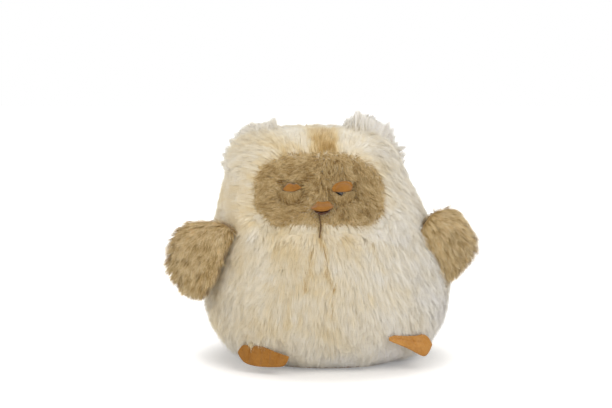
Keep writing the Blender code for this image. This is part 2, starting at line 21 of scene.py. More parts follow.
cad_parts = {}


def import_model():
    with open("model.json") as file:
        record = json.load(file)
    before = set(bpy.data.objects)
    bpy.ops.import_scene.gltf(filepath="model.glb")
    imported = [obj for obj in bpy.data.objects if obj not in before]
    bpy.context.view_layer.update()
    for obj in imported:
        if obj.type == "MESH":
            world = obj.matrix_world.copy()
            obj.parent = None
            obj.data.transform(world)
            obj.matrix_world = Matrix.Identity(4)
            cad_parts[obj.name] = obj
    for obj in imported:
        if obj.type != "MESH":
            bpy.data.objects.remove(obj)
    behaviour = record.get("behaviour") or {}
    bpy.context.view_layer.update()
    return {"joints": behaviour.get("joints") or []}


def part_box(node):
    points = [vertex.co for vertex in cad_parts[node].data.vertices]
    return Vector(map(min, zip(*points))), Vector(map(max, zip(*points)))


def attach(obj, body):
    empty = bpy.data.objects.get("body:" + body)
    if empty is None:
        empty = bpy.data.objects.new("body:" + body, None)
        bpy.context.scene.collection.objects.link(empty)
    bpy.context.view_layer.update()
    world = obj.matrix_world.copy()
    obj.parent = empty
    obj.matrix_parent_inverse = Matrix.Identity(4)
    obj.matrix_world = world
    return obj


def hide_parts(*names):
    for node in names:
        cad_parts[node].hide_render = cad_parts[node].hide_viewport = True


Array = np.ndarray
Colour = tuple[float, float, float]
Pixel = tuple[float, float]
Span = tuple[float, float]

LOG = logging.getLogger("owl")
MM = 0.001
BAKE_MAP = "OFBake"
BODY = "owl"
EPSILON = 1e-12


def srgb(red: int, green: int, blue: int) -> Colour:
    """A colour given as 0 to 255 display values, in linear light."""
    def linear(value: int) -> float:
        """One display value in linear light."""
        share = value / 255
        return share / 12.92 if share <= 0.04045 else ((share + 0.055) / 1.055) ** 2.4

    return linear(red), linear(green), linear(blue)


def opaque(colour: Colour) -> tuple[float, float, float, float]:
    """The colour with full cover, as colour sockets take it."""
    return (*colour, 1.0)


def unit(vectors: Array) -> Array:
    """The vectors at length one."""
    return vectors / np.maximum(np.linalg.norm(vectors, axis=-1, keepdims=True), EPSILON)


def ease(values: Array, low: float, high: float) -> Array:
    """Values taken from 0 at low to 1 at high with soft ends."""
    share = np.clip((values - low) / (high - low), 0.0, 1.0)
    return share * share * (3 - 2 * share)


def on_surface(directions: Array, normals: Array) -> Array:
    """Directions laid flat on the surface that has these normals, at length one."""
    return unit(directions - normals * (directions * normals).sum(-1, keepdims=True))


def turned(vectors: Array, axes: Array, angles: Array) -> Array:
    """Vectors turned about axes, one angle for each.

    Args:
        vectors: The vectors to turn.
        axes: Unit axes, one for each vector.
        angles: Angles in radians.

    Returns:
        The turned vectors.
    """
    cosine, sine = np.cos(angles)[:, None], np.sin(angles)[:, None]
    along = (vectors * axes).sum(-1, keepdims=True)
    return vectors * cosine + np.cross(axes, vectors) * sine + axes * along * (1 - cosine)


def arrows(across: Array | float, back: Array | float, up: Array | float) -> Array:
    """Directions from their x, y and z parts, one row for each value that the parts hold."""
    return np.stack(np.broadcast_arrays(across, back, up), axis=-1).astype(float)


@dataclass(frozen=True)
class Ripple:
    """Smooth random values over space, from about -amount to amount, with crests about a length apart."""

    amount: float
    length: float
    seed: int
    waves: ClassVar[int] = 12
    pitch: ClassVar[Span] = (0.7, 1.5)

    def over(self, points: Array, further: int = 0) -> Array:
        """The values at these points.

        Args:
            points: Places in space.
            further: Added to the seed, so that two pieces can differ.

        Returns:
            One value for each place.
        """
        draw = np.random.default_rng(self.seed + further)
        ways = unit(draw.normal(size=(self.waves, 3))) * draw.uniform(*self.pitch, (self.waves, 1))
        phases = draw.uniform(0, 2 * math.pi, self.waves)
        heights = np.sin(points @ ways.T * (2 * math.pi / self.length) + phases).sum(1)
        return np.clip(heights / math.sqrt(self.waves), -1.0, 1.0) * self.amount


def nearest_of(points: Array, some: Array) -> Array:
    """For each point, which of the points numbered in some is nearest."""
    tree = KDTree(len(some))
    for i in some:
        tree.insert(points[i], int(i))
    tree.balance()
    return np.fromiter((tree.find(p)[1] for p in points), np.int64, len(points))


# Shaders


@dataclass(frozen=True)
class Shade:
    """A shader socket on which arithmetic adds Math nodes."""

    paint: "Paint"
    socket: bpy.types.NodeSocket

    def _math(self, operation: str, first: Any, second: Any) -> "Shade":
        """The Math node that joins two numbers."""
        made = self.paint.node("ShaderNodeMath", {"operation": operation}, {0: first, 1: second})
        return Shade(self.paint, made.outputs[0])

    def __add__(self, other: Any) -> "Shade":
        """This number plus another."""
        return self._math("ADD", self, other)

    __radd__ = __add__

    def __sub__(self, other: Any) -> "Shade":
        """This number less another."""
        return self._math("SUBTRACT", self, other)

    def __rsub__(self, other: Any) -> "Shade":
        """Another number less this one."""
        return self._math("SUBTRACT", other, self)

    def __mul__(self, other: Any) -> "Shade":
        """This number times another."""
        return self._math("MULTIPLY", self, other)

    __rmul__ = __mul__


class Paint:
    """A material's or the world's nodes while they are being made."""

    def __init__(self, owner: bpy.types.Material | bpy.types.World) -> None:
        """Starts the owner's nodes afresh."""
        owner.use_nodes = True
        self.owner = owner
        self.tree = owner.node_tree
        self.tree.nodes.clear()

    @classmethod
    def named(cls, name: str) -> "Paint":
        """Starts a new material of that name."""
        return cls(bpy.data.materials.new(name))

    def node(self, kind: str, settings: dict | None = None, values: dict | None = None) -> bpy.types.Node:
        """Adds a node.

        Args:
            kind: The node's type.
            settings: Its properties, which are set first; stops are a colour ramp's places and colours.
            values: Numbers, colours or shades for its sockets, by name or number.

        Returns:
            The node.
        """
        made = self.tree.nodes.new(kind)
        for name, setting in (settings or {}).items():
            if name == "stops":
                self._set_stops(made.color_ramp, setting)
            else:
                setattr(made, name, setting)
        for name, value in (values or {}).items():
            if isinstance(value, Shade):
                self.tree.links.new(value.socket, made.inputs[name])
            else:
                made.inputs[name].default_value = value
        return made

    @staticmethod
    def _set_stops(ramp: bpy.types.ColorRamp, stops: Sequence[tuple[float, Colour]]) -> None:
        """Gives a colour ramp its stops."""
        while len(ramp.elements) < len(stops):
            ramp.elements.new(0.5)
        for element, (place, colour) in zip(ramp.elements, stops):
            element.position = place
            element.color = opaque(colour)

    def out(
        self, kind: str, settings: dict | None = None, values: dict | None = None, socket: int | str = 0,
    ) -> Shade:
        """Adds a node and gives one of its outputs."""
        return Shade(self, self.node(kind, settings, values).outputs[socket])

    def noise(self, scale: float, detail: float = 3.0, stretch: Colour = (1.0, 1.0, 1.0)) -> Shade:
        """Noise over the piece's own space, with so many lumps a metre."""
        place = self.out("ShaderNodeTexCoord", socket="Object")
        place = self.out("ShaderNodeMapping", {}, {"Vector": place, "Scale": stretch})
        return self.out("ShaderNodeTexNoise", {}, {"Vector": place, "Scale": scale, "Detail": detail})

    def steps(self, value: Shade, stops: Sequence[tuple[float, Colour]]) -> Shade:
        """The colour that a ramp has at a value."""
        return self.out("ShaderNodeValToRGB", {"stops": stops}, {0: value})

    def mixed(self, factor: Any, first: Any, second: Any, blend: str = "MIX") -> Shade:
        """Two colours mixed by a factor."""
        settings = {"data_type": "RGBA", "blend_type": blend}
        return self.out("ShaderNodeMix", settings, {0: factor, 6: first, 7: second}, socket=2)

    def bumped(self, height: Shade, depth: float, strength: float = 1.0) -> Shade:
        """A normal that follows a height."""
        return self.out("ShaderNodeBump", {}, {"Height": height, "Distance": depth, "Strength": strength})

    def surface(self, values: dict) -> bpy.types.Material:
        """Ends the material with a principled shader that has these values."""
        shader = self.out("ShaderNodeBsdfPrincipled", {}, values)
        return self.show(shader)

    def show(self, shader: Shade) -> bpy.types.Material:
        """Ends the material with a shader."""
        self.node("ShaderNodeOutputMaterial", {}, {"Surface": shader})
        return self.owner


@dataclass(frozen=True)
class FurFinish:
    """Fur whose strands carry their tint across the bake map and their length up it, with painted shade
    towards each root.
    """

    name: str
    tints: tuple[tuple[float, Colour], ...]
    # depths: painted shade, a ramp that darkens each strand towards its root
    depths: tuple[tuple[float, Colour], ...]
    roughness: float = 0.75
    tip_gloss: float = 0.2
    specular: float = 0.25
    sheen: float = 0.25
    sheen_roughness: float = 0.5

    def material(self) -> bpy.types.Material:
        """The fur's material."""
        paint = Paint.named(self.name)
        place = paint.out("ShaderNodeUVMap", {"uv_map": BAKE_MAP})
        parts = paint.node("ShaderNodeSeparateXYZ", {}, {0: place})
        tint, height = Shade(paint, parts.outputs[0]), Shade(paint, parts.outputs[1])
        colour = paint.mixed(1.0, paint.steps(tint, self.tints), paint.steps(height, self.depths), "MULTIPLY")
        return paint.surface({
            "Base Color": colour,
            "Roughness": self.roughness - height * self.tip_gloss,
            "Specular IOR Level": self.specular,
            "Sheen Weight": self.sheen,
            "Sheen Roughness": self.sheen_roughness,
        })


@dataclass(frozen=True)
class HideFinish:
    """Tanned skin or fibre between strands, mottled and slightly rough."""

    name: str
    light: Colour
    dark: Colour
    lumps: float = 420.0
    broad: float = 0.3
    fine: float = 4.0
    fine_share: float = 0.4
    roughness: float = 0.8
    rougher: float = 0.2
    depth: float = 0.3 * MM
    specular: float = 0.2

    def material(self) -> bpy.types.Material:
        """The hide's material."""
        paint = Paint.named(self.name)
        broad, fine = paint.noise(self.lumps * self.broad), paint.noise(self.lumps * self.fine)
        patches = broad * (1 - self.fine_share) + fine * self.fine_share
        return paint.surface({
            "Base Color": paint.mixed(patches, opaque(self.light), opaque(self.dark)),
            "Roughness": self.roughness + fine * self.rougher,
            "Normal": paint.bumped(fine, self.depth),
            "Specular IOR Level": self.specular,
        })


@dataclass(frozen=True)
class SuedeFinish:
    """Napped leather with brushed patches and a fine velvety grain."""

    name: str
    light: Colour
    dark: Colour
    worn: Colour
    brushing: tuple[float, float] = (190.0, 4.0)
    napping: tuple[float, float] = (2600.0, 5.0)
    fibre: tuple[float, float] = (1500.0, 4.0)
    fibre_stretch: Colour = (1.0, 1.0, 0.25)
    fibre_share: float = 0.4
    brushed_contrast: float = 1.5
    worn_from: float = 0.45
    worn_contrast: float = 1.2
    roughness: float = 0.82
    rougher: float = 0.18
    depth: float = 0.22 * MM
    bump: float = 0.8
    specular: float = 0.15
    sheen: float = 0.35
    sheen_roughness: float = 0.45

    def material(self) -> bpy.types.Material:
        """The suede's material."""
        paint = Paint.named(self.name)
        brushed = paint.noise(*self.brushing)
        nap = paint.noise(*self.napping)
        fibres = paint.noise(*self.fibre, self.fibre_stretch)
        middle = (self.brushed_contrast - 1) / 2
        colour = paint.mixed(brushed * self.brushed_contrast - middle, opaque(self.light), opaque(self.dark))
        colour = paint.mixed((nap - self.worn_from) * self.worn_contrast, colour, opaque(self.worn))
        grain = nap * (1 - self.fibre_share) + fibres * self.fibre_share
        return paint.surface({
            "Base Color": colour,
            "Roughness": self.roughness + nap * self.rougher,
            "Normal": paint.bumped(grain, self.depth, self.bump),
            "Specular IOR Level": self.specular,
            "Sheen Weight": self.sheen,
            "Sheen Roughness": self.sheen_roughness,
        })


@dataclass(frozen=True)
class MouldedFinish:
    """Moulded plastic with a faint flow pattern and handling marks."""

    name: str
    light: Colour
    dark: Colour
    roughness: float
    coat: float = 0.0
    flow: float = 260.0
    handling: tuple[float, float] = (3000.0, 2.0)
    rougher: float = 0.08
    depth: float = 0.01 * MM
    bump: float = 0.3

    def material(self) -> bpy.types.Material:
        """The plastic's material."""
        paint = Paint.named(self.name)
        flow, marks = paint.noise(self.flow), paint.noise(*self.handling)
        return paint.surface({
            "Base Color": paint.mixed(flow, opaque(self.light), opaque(self.dark)),
            "Roughness": self.roughness + marks * self.rougher,
            "Normal": paint.bumped(marks, self.depth, self.bump),
            "Coat Weight": self.coat,
        })


@dataclass(frozen=True)
class ThreadFinish:
    """Twisted sewing thread."""

    name: str
    light: Colour
    dark: Colour
    plies: tuple[float, float] = (5200.0, 2.0)
    roughness: float = 0.6
    rougher: float = 0.3
    depth: float = 0.08 * MM

    def material(self) -> bpy.types.Material:
        """The thread's material."""
        paint = Paint.named(self.name)
        ply = paint.noise(*self.plies)
        return paint.surface({
            "Base Color": paint.mixed(ply, opaque(self.light), opaque(self.dark)),
            "Roughness": self.roughness + ply * self.rougher,
            "Normal": paint.bumped(ply, self.depth),
        })


class Finish(Enum):
    """The owl's finishes."""

    CREAM_FUR = FurFinish(
        "long_cream_fur",
        (
            (0.0, srgb(172, 132, 68)),
            (0.16, srgb(222, 190, 130)),
            (0.34, srgb(245, 226, 182)),
            (0.55, srgb(252, 242, 219)),
            (0.80, srgb(255, 251, 242)),
            (1.0, srgb(255, 252, 252)),
        ),
        # Painted shade up the strand: darker at the root, white at the tip.
        (
            (0.0, srgb(244, 234, 212)),
            (0.4, srgb(252, 249, 242)),
            (0.8, srgb(255, 255, 255)),
            (1.0, srgb(255, 255, 255)),
        ),
    )
    TAN_FUR = FurFinish(
        "short_tan_fur",
        (
            (0.0, srgb(110, 78, 34)),
            (0.22, srgb(180, 146, 90)),
            (0.50, srgb(226, 202, 152)),
            (0.78, srgb(246, 230, 194)),
            (1.0, srgb(236, 192, 120)),
        ),
        # Painted shade up the strand: darker at the root, lighter at the tip.
        (
            (0.0, srgb(204, 182, 142)),
            (0.4, srgb(240, 230, 210)),
            (1.0, srgb(255, 255, 252)),
        ),
    )
    HIDE = HideFinish("cream_hide", srgb(232, 222, 196), srgb(214, 200, 166))
    TAN_HIDE = HideFinish("tan_hide", srgb(176, 148, 104), srgb(148, 120, 78))
    FILLING = HideFinish("loose_filling", srgb(232, 230, 222), srgb(210, 206, 196), 900.0)
    SUEDE = SuedeFinish("napped_suede", srgb(202, 146, 78), srgb(176, 118, 50), srgb(218, 166, 102))
    # Darker suede for the lids, the beak and the left foot; on the left foot it also paints the shade that
    # the foot lies in.
    SUEDE_DARK = SuedeFinish("dark_suede_and_painted_shade", srgb(172, 118, 52), srgb(144, 94, 34), srgb(190, 140, 78))
    # Dark suede for pieces that paint the shade of the beak's mouth.
    SUEDE_FOLD = SuedeFinish("suede_painted_mouth_shade", srgb(92, 50, 14), srgb(70, 36, 8), srgb(108, 64, 24))
    EYE_BLACK = MouldedFinish("polished_black_bead", (0.010, 0.008, 0.007), (0.018, 0.014, 0.012), 0.20, 0.15)
    WASHER_WHITE = MouldedFinish("white_moulding", (0.76, 0.76, 0.73), (0.70, 0.70, 0.67), 0.45)
    THREAD = ThreadFinish("brown_thread", srgb(108, 78, 42), srgb(66, 44, 20))

    def made(self) -> bpy.types.Material:
        """The finish's material, which is built once."""
        return bpy.data.materials.get(self.value.name) or self.value.material()


# Pieces


def settle(
    piece: bpy.types.Object, body: str, finish: Finish, replaced: Iterable[str] = (),
) -> bpy.types.Object:
    """Finishes a piece and ties it to its body.

    Args:
        piece: The piece, in place.
        body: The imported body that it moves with.
        finish: Its finish.
        replaced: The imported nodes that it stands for.

    Returns:
        The piece.
    """
    piece.data.materials.clear()
    piece.data.materials.append(finish.made())
    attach(piece, body)
    if replaced:
        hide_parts(*replaced)
    LOG.info("%s: %d faces on %s", piece.name, len(piece.data.polygons), body)
    return piece


def placed(name: str, data: bpy.types.ID) -> bpy.types.Object:
    """A new object in the scene that shows this data."""
    made = bpy.data.objects.new(name, data)
    bpy.context.scene.collection.objects.link(made)
    return made


def smoothed(mesh: bpy.types.Mesh) -> bpy.types.Mesh:
    """The mesh with smooth shading on every face."""
    mesh.polygons.foreach_set("use_smooth", np.ones(len(mesh.polygons), bool))
    return mesh


def solid_piece(name: str, places: Array, faces: Array) -> bpy.types.Object:
    """A smooth-shaded mesh object from places and faces."""
    mesh = bpy.data.meshes.new(name)
    mesh.from_pydata(places.tolist(), [], faces.tolist())
    smoothed(mesh).update()
    return placed(name, mesh)


def evaluated(source: bpy.types.Object) -> bpy.types.Mesh:
    """The mesh of an object with its modifiers or its bevel worked out."""
    return bpy.data.meshes.new_from_object(source.evaluated_get(bpy.context.evaluated_depsgraph_get()))


def box_of(node: str) -> tuple[Array, Array]:
    """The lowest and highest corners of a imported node."""
    low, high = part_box(node)
    return np.array(low), np.array(high)


def rows_of(items: Any, name: str) -> Array:
    """Three numbers of each item of a mesh, one row for an item."""
    flat = np.zeros(len(items) * 3, np.float32)
    items.foreach_get(name, flat)
    return flat.reshape(-1, 3).astype(float)


def node_surface(names: Iterable[str]) -> tuple[Array, list[list[int]]]:
    """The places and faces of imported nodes, joined."""
    places: list[Array] = []
    faces: list[list[int]] = []
    start = 0
    for name in names:
        mesh = bpy.data.objects[name].data
        places.append(rows_of(mesh.vertices, "co"))
        faces += [[start + i for i in face.vertices] for face in mesh.polygons]
        start += len(mesh.vertices)
    return np.concatenate(places), faces


def node_tree(names: Iterable[str]) -> BVHTree:
    """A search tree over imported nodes."""
    places, faces = node_surface(names)
    return BVHTree.FromPolygons(places.tolist(), faces)


@dataclass
class Scatter:
    """Random places on a form: which triangle each is on, and where in it."""

    corners: Array
    shares: Array

    def of(self, values: Array) -> Array:
        """The form's values at these places."""
        return np.einsum("ij,ij...->i...", self.shares, values[self.corners])


@dataclass
class RoundForm:
    """A closed form that is seen whole from its centre."""

    centre: Array
    places: Array
    triangles: Array
    edges: Array
    far: ClassVar[float] = 0.3
    fills: ClassVar[int] = 4
    slip: ClassVar[float] = 0.25

    @classmethod
    def under(cls, nodes: Sequence[str], centre: Array, detail: int, rounds: int) -> "RoundForm":
        """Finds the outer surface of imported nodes.

        Args:
            nodes: The nodes' names.
            centre: A place inside them all.
            detail: How often the ball of rays is divided.
            rounds: How often neighbouring distances are evened out.

        Returns:
            The form that the rays found.
        """
        shop = bmesh.new()
        bmesh.ops.create_icosphere(shop, subdivisions=detail, radius=1.0)
        ways = unit(np.array([v.co for v in shop.verts], float))
        triangles = np.array([[v.index for v in f.verts] for f in shop.faces], np.int64)
        edges = np.array([[v.index for v in e.verts] for e in shop.edges], np.int64)
        shop.free()
        tree = node_tree(nodes)
        reach = np.full(len(ways), np.nan)
        for i, way in enumerate(ways):
            hit = tree.ray_cast(Vector(centre + way * cls.far), Vector(-way), cls.far)
            if hit[0] is not None:
                reach[i] = cls.far - hit[3]
        form = cls(centre, ways, triangles, edges)
        form.places = centre + ways * form.evened(form.filled(reach), rounds)[:, None]
        return form

    def filled(self, reach: Array) -> Array:
        """Distances from the centre, with those that slipped through a gap raised to their neighbours'."""
        first, second = self.edges.T
        middle = np.nanmedian(reach)
        reach = np.where(np.isnan(reach), 0.0, reach)
        for _ in range(self.fills):
            highest = reach.copy()
            np.maximum.at(highest, first, reach[second])
            np.maximum.at(highest, second, reach[first])
            reach = np.where(reach < highest - self.slip * middle, highest, reach)
        return reach

    def evened(self, values: Array, rounds: int) -> Array:
        """Values evened out between neighbours."""
        first, second = self.edges.T
        size = len(values)
        count = np.bincount(first, minlength=size) + np.bincount(second, minlength=size)
        for _ in range(rounds):
            total = np.bincount(first, values[second], size) + np.bincount(second, values[first], size)
            values = 0.5 * values + 0.5 * total / count
        return values

    def normals(self) -> Array:
        """The outward unit normal at each place."""
        a, b, c = (self.places[self.triangles[:, i]] for i in range(3))
        flat = np.cross(b - a, c - a)
        total = np.zeros_like(self.places)
        for i in range(3):
            for axis in range(3):
                total[:, axis] += np.bincount(self.triangles[:, i], flat[:, axis], len(total))
        return unit(total)

    def sunk(self, depth: Array | float) -> "RoundForm":
        """The form moved inward by a depth."""
        inward = self.normals() * (np.zeros(len(self.places)) + depth)[:, None]
        return RoundForm(self.centre, self.places - inward, self.triangles, self.edges)

    def shrunk(self, share: float) -> "RoundForm":
        """The form drawn towards its centre to a share of its size."""
        drawn_in = self.centre + (self.places - self.centre) * share
        return RoundForm(self.centre, drawn_in, self.triangles, self.edges)

    def scattered(self, density: Array | float, draw: np.random.Generator) -> Scatter:
        """Random places over the form.

        Args:
            density: Places a square metre, for each of the form's places.
            draw: The random numbers.

        Returns:
            The places.
        """
        a, b, c = (self.places[self.triangles[:, i]] for i in range(3))
        area = np.linalg.norm(np.cross(b - a, c - a), axis=1) / 2
        wanted = area * (np.zeros(len(self.places)) + density)[self.triangles].mean(1)
        count = int(wanted.sum())
        chosen = draw.choice(len(area), count, p=wanted / wanted.sum())
        first, second = np.sort(draw.random((2, count)), axis=0)
        shares = np.stack([first, second - first, 1 - second], axis=1)
        return Scatter(self.triangles[chosen], shares)

    def tree(self) -> BVHTree:
        """A search tree over the form."""
        return BVHTree.FromPolygons(self.places.tolist(), self.triangles.tolist())

    def distances(self, node: str) -> Array:
        """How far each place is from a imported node."""
        tree = node_tree([node])
        return np.array([tree.find_nearest(p)[3] for p in self.places.tolist()])

    def piece(self, name: str) -> bpy.types.Object:
        """The form as a mesh object."""
        return solid_piece(name, self.places, self.triangles)


# Camera


@dataclass(frozen=True)
class Viewpoint:
    """Where the picture is taken from and how it is framed."""

    target: tuple[float, float, float] = (0.0, 0.0, 0.070)
    distance: float = 0.9
    elevation: float = math.radians(8)
    width: int = 612
    height: int = 408
    target_pixel: Pixel = (327.0, 241.4)
    pixel_size: float = 0.6 * MM
    sensor: float = 36.0

    @property
    def ahead(self) -> Array:
        """The direction that the camera looks in."""
        return np.array([0.0, math.cos(self.elevation), -math.sin(self.elevation)])

    @property
    def upward(self) -> Array:
        """The picture's up direction."""
        return np.array([0.0, math.sin(self.elevation), math.cos(self.elevation)])

    @property
    def place(self) -> Array:
        """Where the camera stands."""
        return np.array(self.target) - self.ahead * self.distance

    def ray(self, pixel: Pixel) -> Array:
        """The direction from the camera through a pixel of the picture."""
        across = (pixel[0] - self.target_pixel[0]) * self.pixel_size
        above = (self.target_pixel[1] - pixel[1]) * self.pixel_size
        return unit(self.ahead * self.distance + np.array([across, 0.0, 0.0]) + self.upward * above)

    def onto(self, tree: BVHTree, pixel: Pixel) -> Array | None:
        """Where a pixel's ray meets a surface, if it does."""
        hit = tree.ray_cast(Vector(self.place), Vector(self.ray(pixel)))
        return None if hit[0] is None else np.array(hit[0])

    def at_depth(self, pixel: Pixel, y: float) -> Array:
        """The point on a pixel's ray at a given y."""
        way = self.ray(pixel)
        return self.place + way * ((y - self.place[1]) / way[1])

    def beside(self, tree: BVHTree, pixel: Pixel) -> Array:
        """Where a pixel's ray meets a surface, or the surface nearest to it."""
        met = self.onto(tree, pixel)
        if met is not None:
            return met
        return np.array(tree.find_nearest(Vector(self.level_with(pixel, np.array(self.target))))[0])

    def level_with(self, pixel: Pixel, place: Array) -> Array:
        """The point on a pixel's ray that is as far off as a place."""
        way = self.ray(pixel)
        return self.place + way * ((place - self.place) @ self.ahead) / (way @ self.ahead)

    def build(self) -> bpy.types.Object:
        """Adds the camera and makes it the scene's."""
        data = bpy.data.cameras.new("camera")
        data.sensor_width = self.sensor
        data.lens = self.sensor * self.distance / (self.pixel_size * self.width)
        data.shift_x = (self.width / 2 - self.target_pixel[0]) / self.width
        data.shift_y = (self.target_pixel[1] - self.height / 2) / self.width
        camera = placed("camera", data)
        camera.location = self.place
        camera.rotation_euler = (math.pi / 2 - self.elevation, 0.0, 0.0)
        bpy.context.scene.camera = camera
        return camera


VIEW = Viewpoint()


# Fur


@dataclass
class Roots:
    """Where strands start and how each lies, one row for a strand."""

    place: Array
    normal: Array
    comb: Array
    length: Array
    tint: Array
    root_lift: Array
    tip_lift: Array

    def kept(self, mask: Array) -> "Roots":
        """Only the strands in the mask."""
        return Roots(*(getattr(self, name)[mask] for name in self.__dataclass_fields__))


@dataclass(frozen=True)
class Coat:
    """How a kind of fur grows: tapered flat strands that lean, bend and gather in locks and tufts."""

    width: float
    lock: float
    tuft: float
    lock_pull: float = 0.20
    tuft_pull: float = 0.12
    stray: float = math.radians(7)
    lock_turn: float = math.radians(4)
    tuft_turn: float = math.radians(5)
    lift_spread: float = math.radians(3.5)
    length_spread: float = 0.18
    tint_spread: float = 0.04
    lock_tint: float = 0.028
    tuft_tint: float = 0.022
    twist: float = math.radians(15)
    softness: float = 0.93
    curl: float = math.radians(12)
    floor: float = 0.25 * MM
    tint_width: float = 0.003
    levels: tuple[float, ...] = (0.0, 0.55, 1.0)
    widths: tuple[float, ...] = (0.85, 0.85)
    cover: ClassVar[float] = 0.7
    curl_shares: ClassVar[tuple[float, ...]] = (0.5, 0.6, 1.0)
    lift_shares: ClassVar[tuple[float, ...]] = (1.0, 0.7, 0.5)
    length_shares: ClassVar[tuple[float, ...]] = (1.0, 0.4, 0.4)
    length_limits: ClassVar[Span] = (0.55, 1.45)
    tint_limits: ClassVar[Span] = (0.01, 0.99)
    lift_growth: ClassVar[float] = 0.8
    pull_growth: ClassVar[float] = 1.4
    width_spread: ClassVar[float] = 0.25
    width_limits: ClassVar[Span] = (0.5, 1.6)

    def _groups(self, places: Array, spacing: float, draw: np.random.Generator) -> Array:
        """For each strand, the strand that leads its group, when groups are so far apart."""
        span = places.max(0) - places.min(0)
        shell = 2 * (span[0] * span[1] + span[1] * span[2] + span[0] * span[2]) * self.cover
        count = int(np.clip(shell / spacing ** 2, 1, len(places)))
        return nearest_of(places, draw.choice(len(places), count, replace=False))

    def curves(self, roots: Roots, draw: np.random.Generator) -> tuple[Array, Array]:
        """Bends every strand.

        Args:
            roots: The strands' starts.
            draw: The random numbers.

        Returns:
            Each strand's places up its length, and its tint.
        """
        count = len(roots.place)
        locks = self._groups(roots.place, self.lock, draw)
        tufts = self._groups(roots.place, self.tuft, draw)
        own, by_lock, by_tuft = (draw.normal(size=(count, 5)) for _ in range(3))
        by_lock, by_tuft = by_lock[locks], by_tuft[tufts]

        def spread(column: int, stray: float, lock: float, tuft: float) -> Array:
            """Random amounts shared within locks and tufts."""
            return own[:, column] * stray + by_lock[:, column] * lock + by_tuft[:, column] * tuft

        yaw = spread(0, self.stray, self.lock_turn, self.tuft_turn)
        bend = spread(1, *(self.curl * share for share in self.curl_shares))
        lean = spread(2, *(self.lift_spread * share for share in self.lift_shares))
        longer = spread(3, *(self.length_spread * share for share in self.length_shares))
        length = roots.length * np.clip(1 + longer, *self.length_limits)
        tint = roots.tint + spread(4, self.tint_spread, self.lock_tint, self.tuft_tint)
        place = roots.place.copy()
        line = [place.copy()]
        for low, high in zip(self.levels[:-1], self.levels[1:]):
            middle = (low + high) / 2
            lift = roots.root_lift + (roots.tip_lift - roots.root_lift) * middle ** self.lift_growth + lean
            flat = turned(roots.comb, roots.normal, yaw + bend * (middle - 0.5))
            way = flat * np.cos(lift)[:, None] + roots.normal * np.sin(lift)[:, None]
            place = place + way * (length * (high - low))[:, None]
            line.append(place.copy())
        lines = np.stack(line, axis=1)
        share = np.array(self.levels)[None, :, None] ** self.pull_growth
        lines += (lines[locks] - lines) * share * self.lock_pull
        lines += (lines[tufts] - lines) * share * self.tuft_pull
        low = self.floor * (1 + draw.random(count))[:, None]
        lines[:, :, 2] = np.maximum(lines[:, :, 2], low)
        return lines, np.clip(tint, *self.tint_limits)

    def piece(self, name: str, roots: Roots, draw: np.random.Generator) -> bpy.types.Object:
        """The strands as one mesh object."""
        lines, tint = self.curves(roots, draw)
        return self.ribbons(name, lines, roots.normal, tint, draw)

    def ribbons(
        self, name: str, lines: Array, normals: Array, tint: Array, draw: np.random.Generator,
    ) -> bpy.types.Object:
        """Makes flat tapered strands along lines.

        Args:
            name: The piece's name.
            lines: The places up each strand.
            normals: The surface's normal under each strand.
            tint: Where each strand's colour is in the palette.
            draw: The random numbers.

        Returns:
            The mesh object.
        """
        count = len(lines)
        ways = unit(np.gradient(lines, axis=1))
        overall = unit(lines[:, -1] - lines[:, 0])
        facing = turned(on_surface(normals, overall), overall, draw.normal(size=count) * self.twist)
        width = self.width * np.clip(1 + self.width_spread * draw.normal(size=count), *self.width_limits)
        rows = []
        for level, share in enumerate(self.widths):
            side = unit(np.cross(ways[:, level], facing)) * (width * share / 2)[:, None]
            rows += [lines[:, level] - side, lines[:, level] + side]
        rows.append(lines[:, -1])
        places = np.stack(rows, axis=1)
        lit = unit(self.softness * normals + (1 - self.softness) * facing)
        lit = np.repeat(lit[:, None], places.shape[1], axis=1)
        return self._mesh(name, places, lit, tint)

    def _mesh(self, name: str, places: Array, lit: Array, tint: Array) -> bpy.types.Object:
        """The mesh of tapered strands, with their shading normals and bake map."""
        count, pairs = len(places), len(self.widths)
        size = 2 * pairs + 1
        faces = [[2 * i, 2 * i + 1, 2 * i + 3, 2 * i + 2] for i in range(pairs - 1)]
        faces.append([size - 3, size - 2, size - 1])
        around = np.concatenate(faces)
        corners = np.arange(count)[:, None] * size + around
        starts = np.arange(count)[:, None] * len(around) + np.arange(pairs) * 4
        mesh = bpy.data.meshes.new(name)
        mesh.vertices.add(count * size)
        mesh.vertices.foreach_set("co", places.astype(np.float32).ravel())
        mesh.loops.add(corners.size)
        mesh.loops.foreach_set("vertex_index", corners.astype(np.int32).ravel())
        mesh.polygons.add(starts.size)
        mesh.polygons.foreach_set("loop_start", starts.astype(np.int32).ravel())
        mesh.polygons.foreach_set("use_smooth", np.ones(starts.size, bool))
        mesh.update(calc_edges=True)
        across = np.where(around % 2 == 0, -self.tint_width, self.tint_width)
        across = np.where(around == size - 1, 0.0, across)
        height = np.array(self.levels)[around // 2]
        flat = np.stack([tint[:, None] + across, np.repeat(height[None], count, axis=0)], axis=-1)
        mesh.uv_layers.new(name=BAKE_MAP).data.foreach_set("uv", flat.astype(np.float32).ravel())
        normal = mesh.attributes.new("custom_normal", "FLOAT_VECTOR", "POINT")
        normal.data.foreach_set("vector", lit.astype(np.float32).ravel())
        return placed(name, mesh)


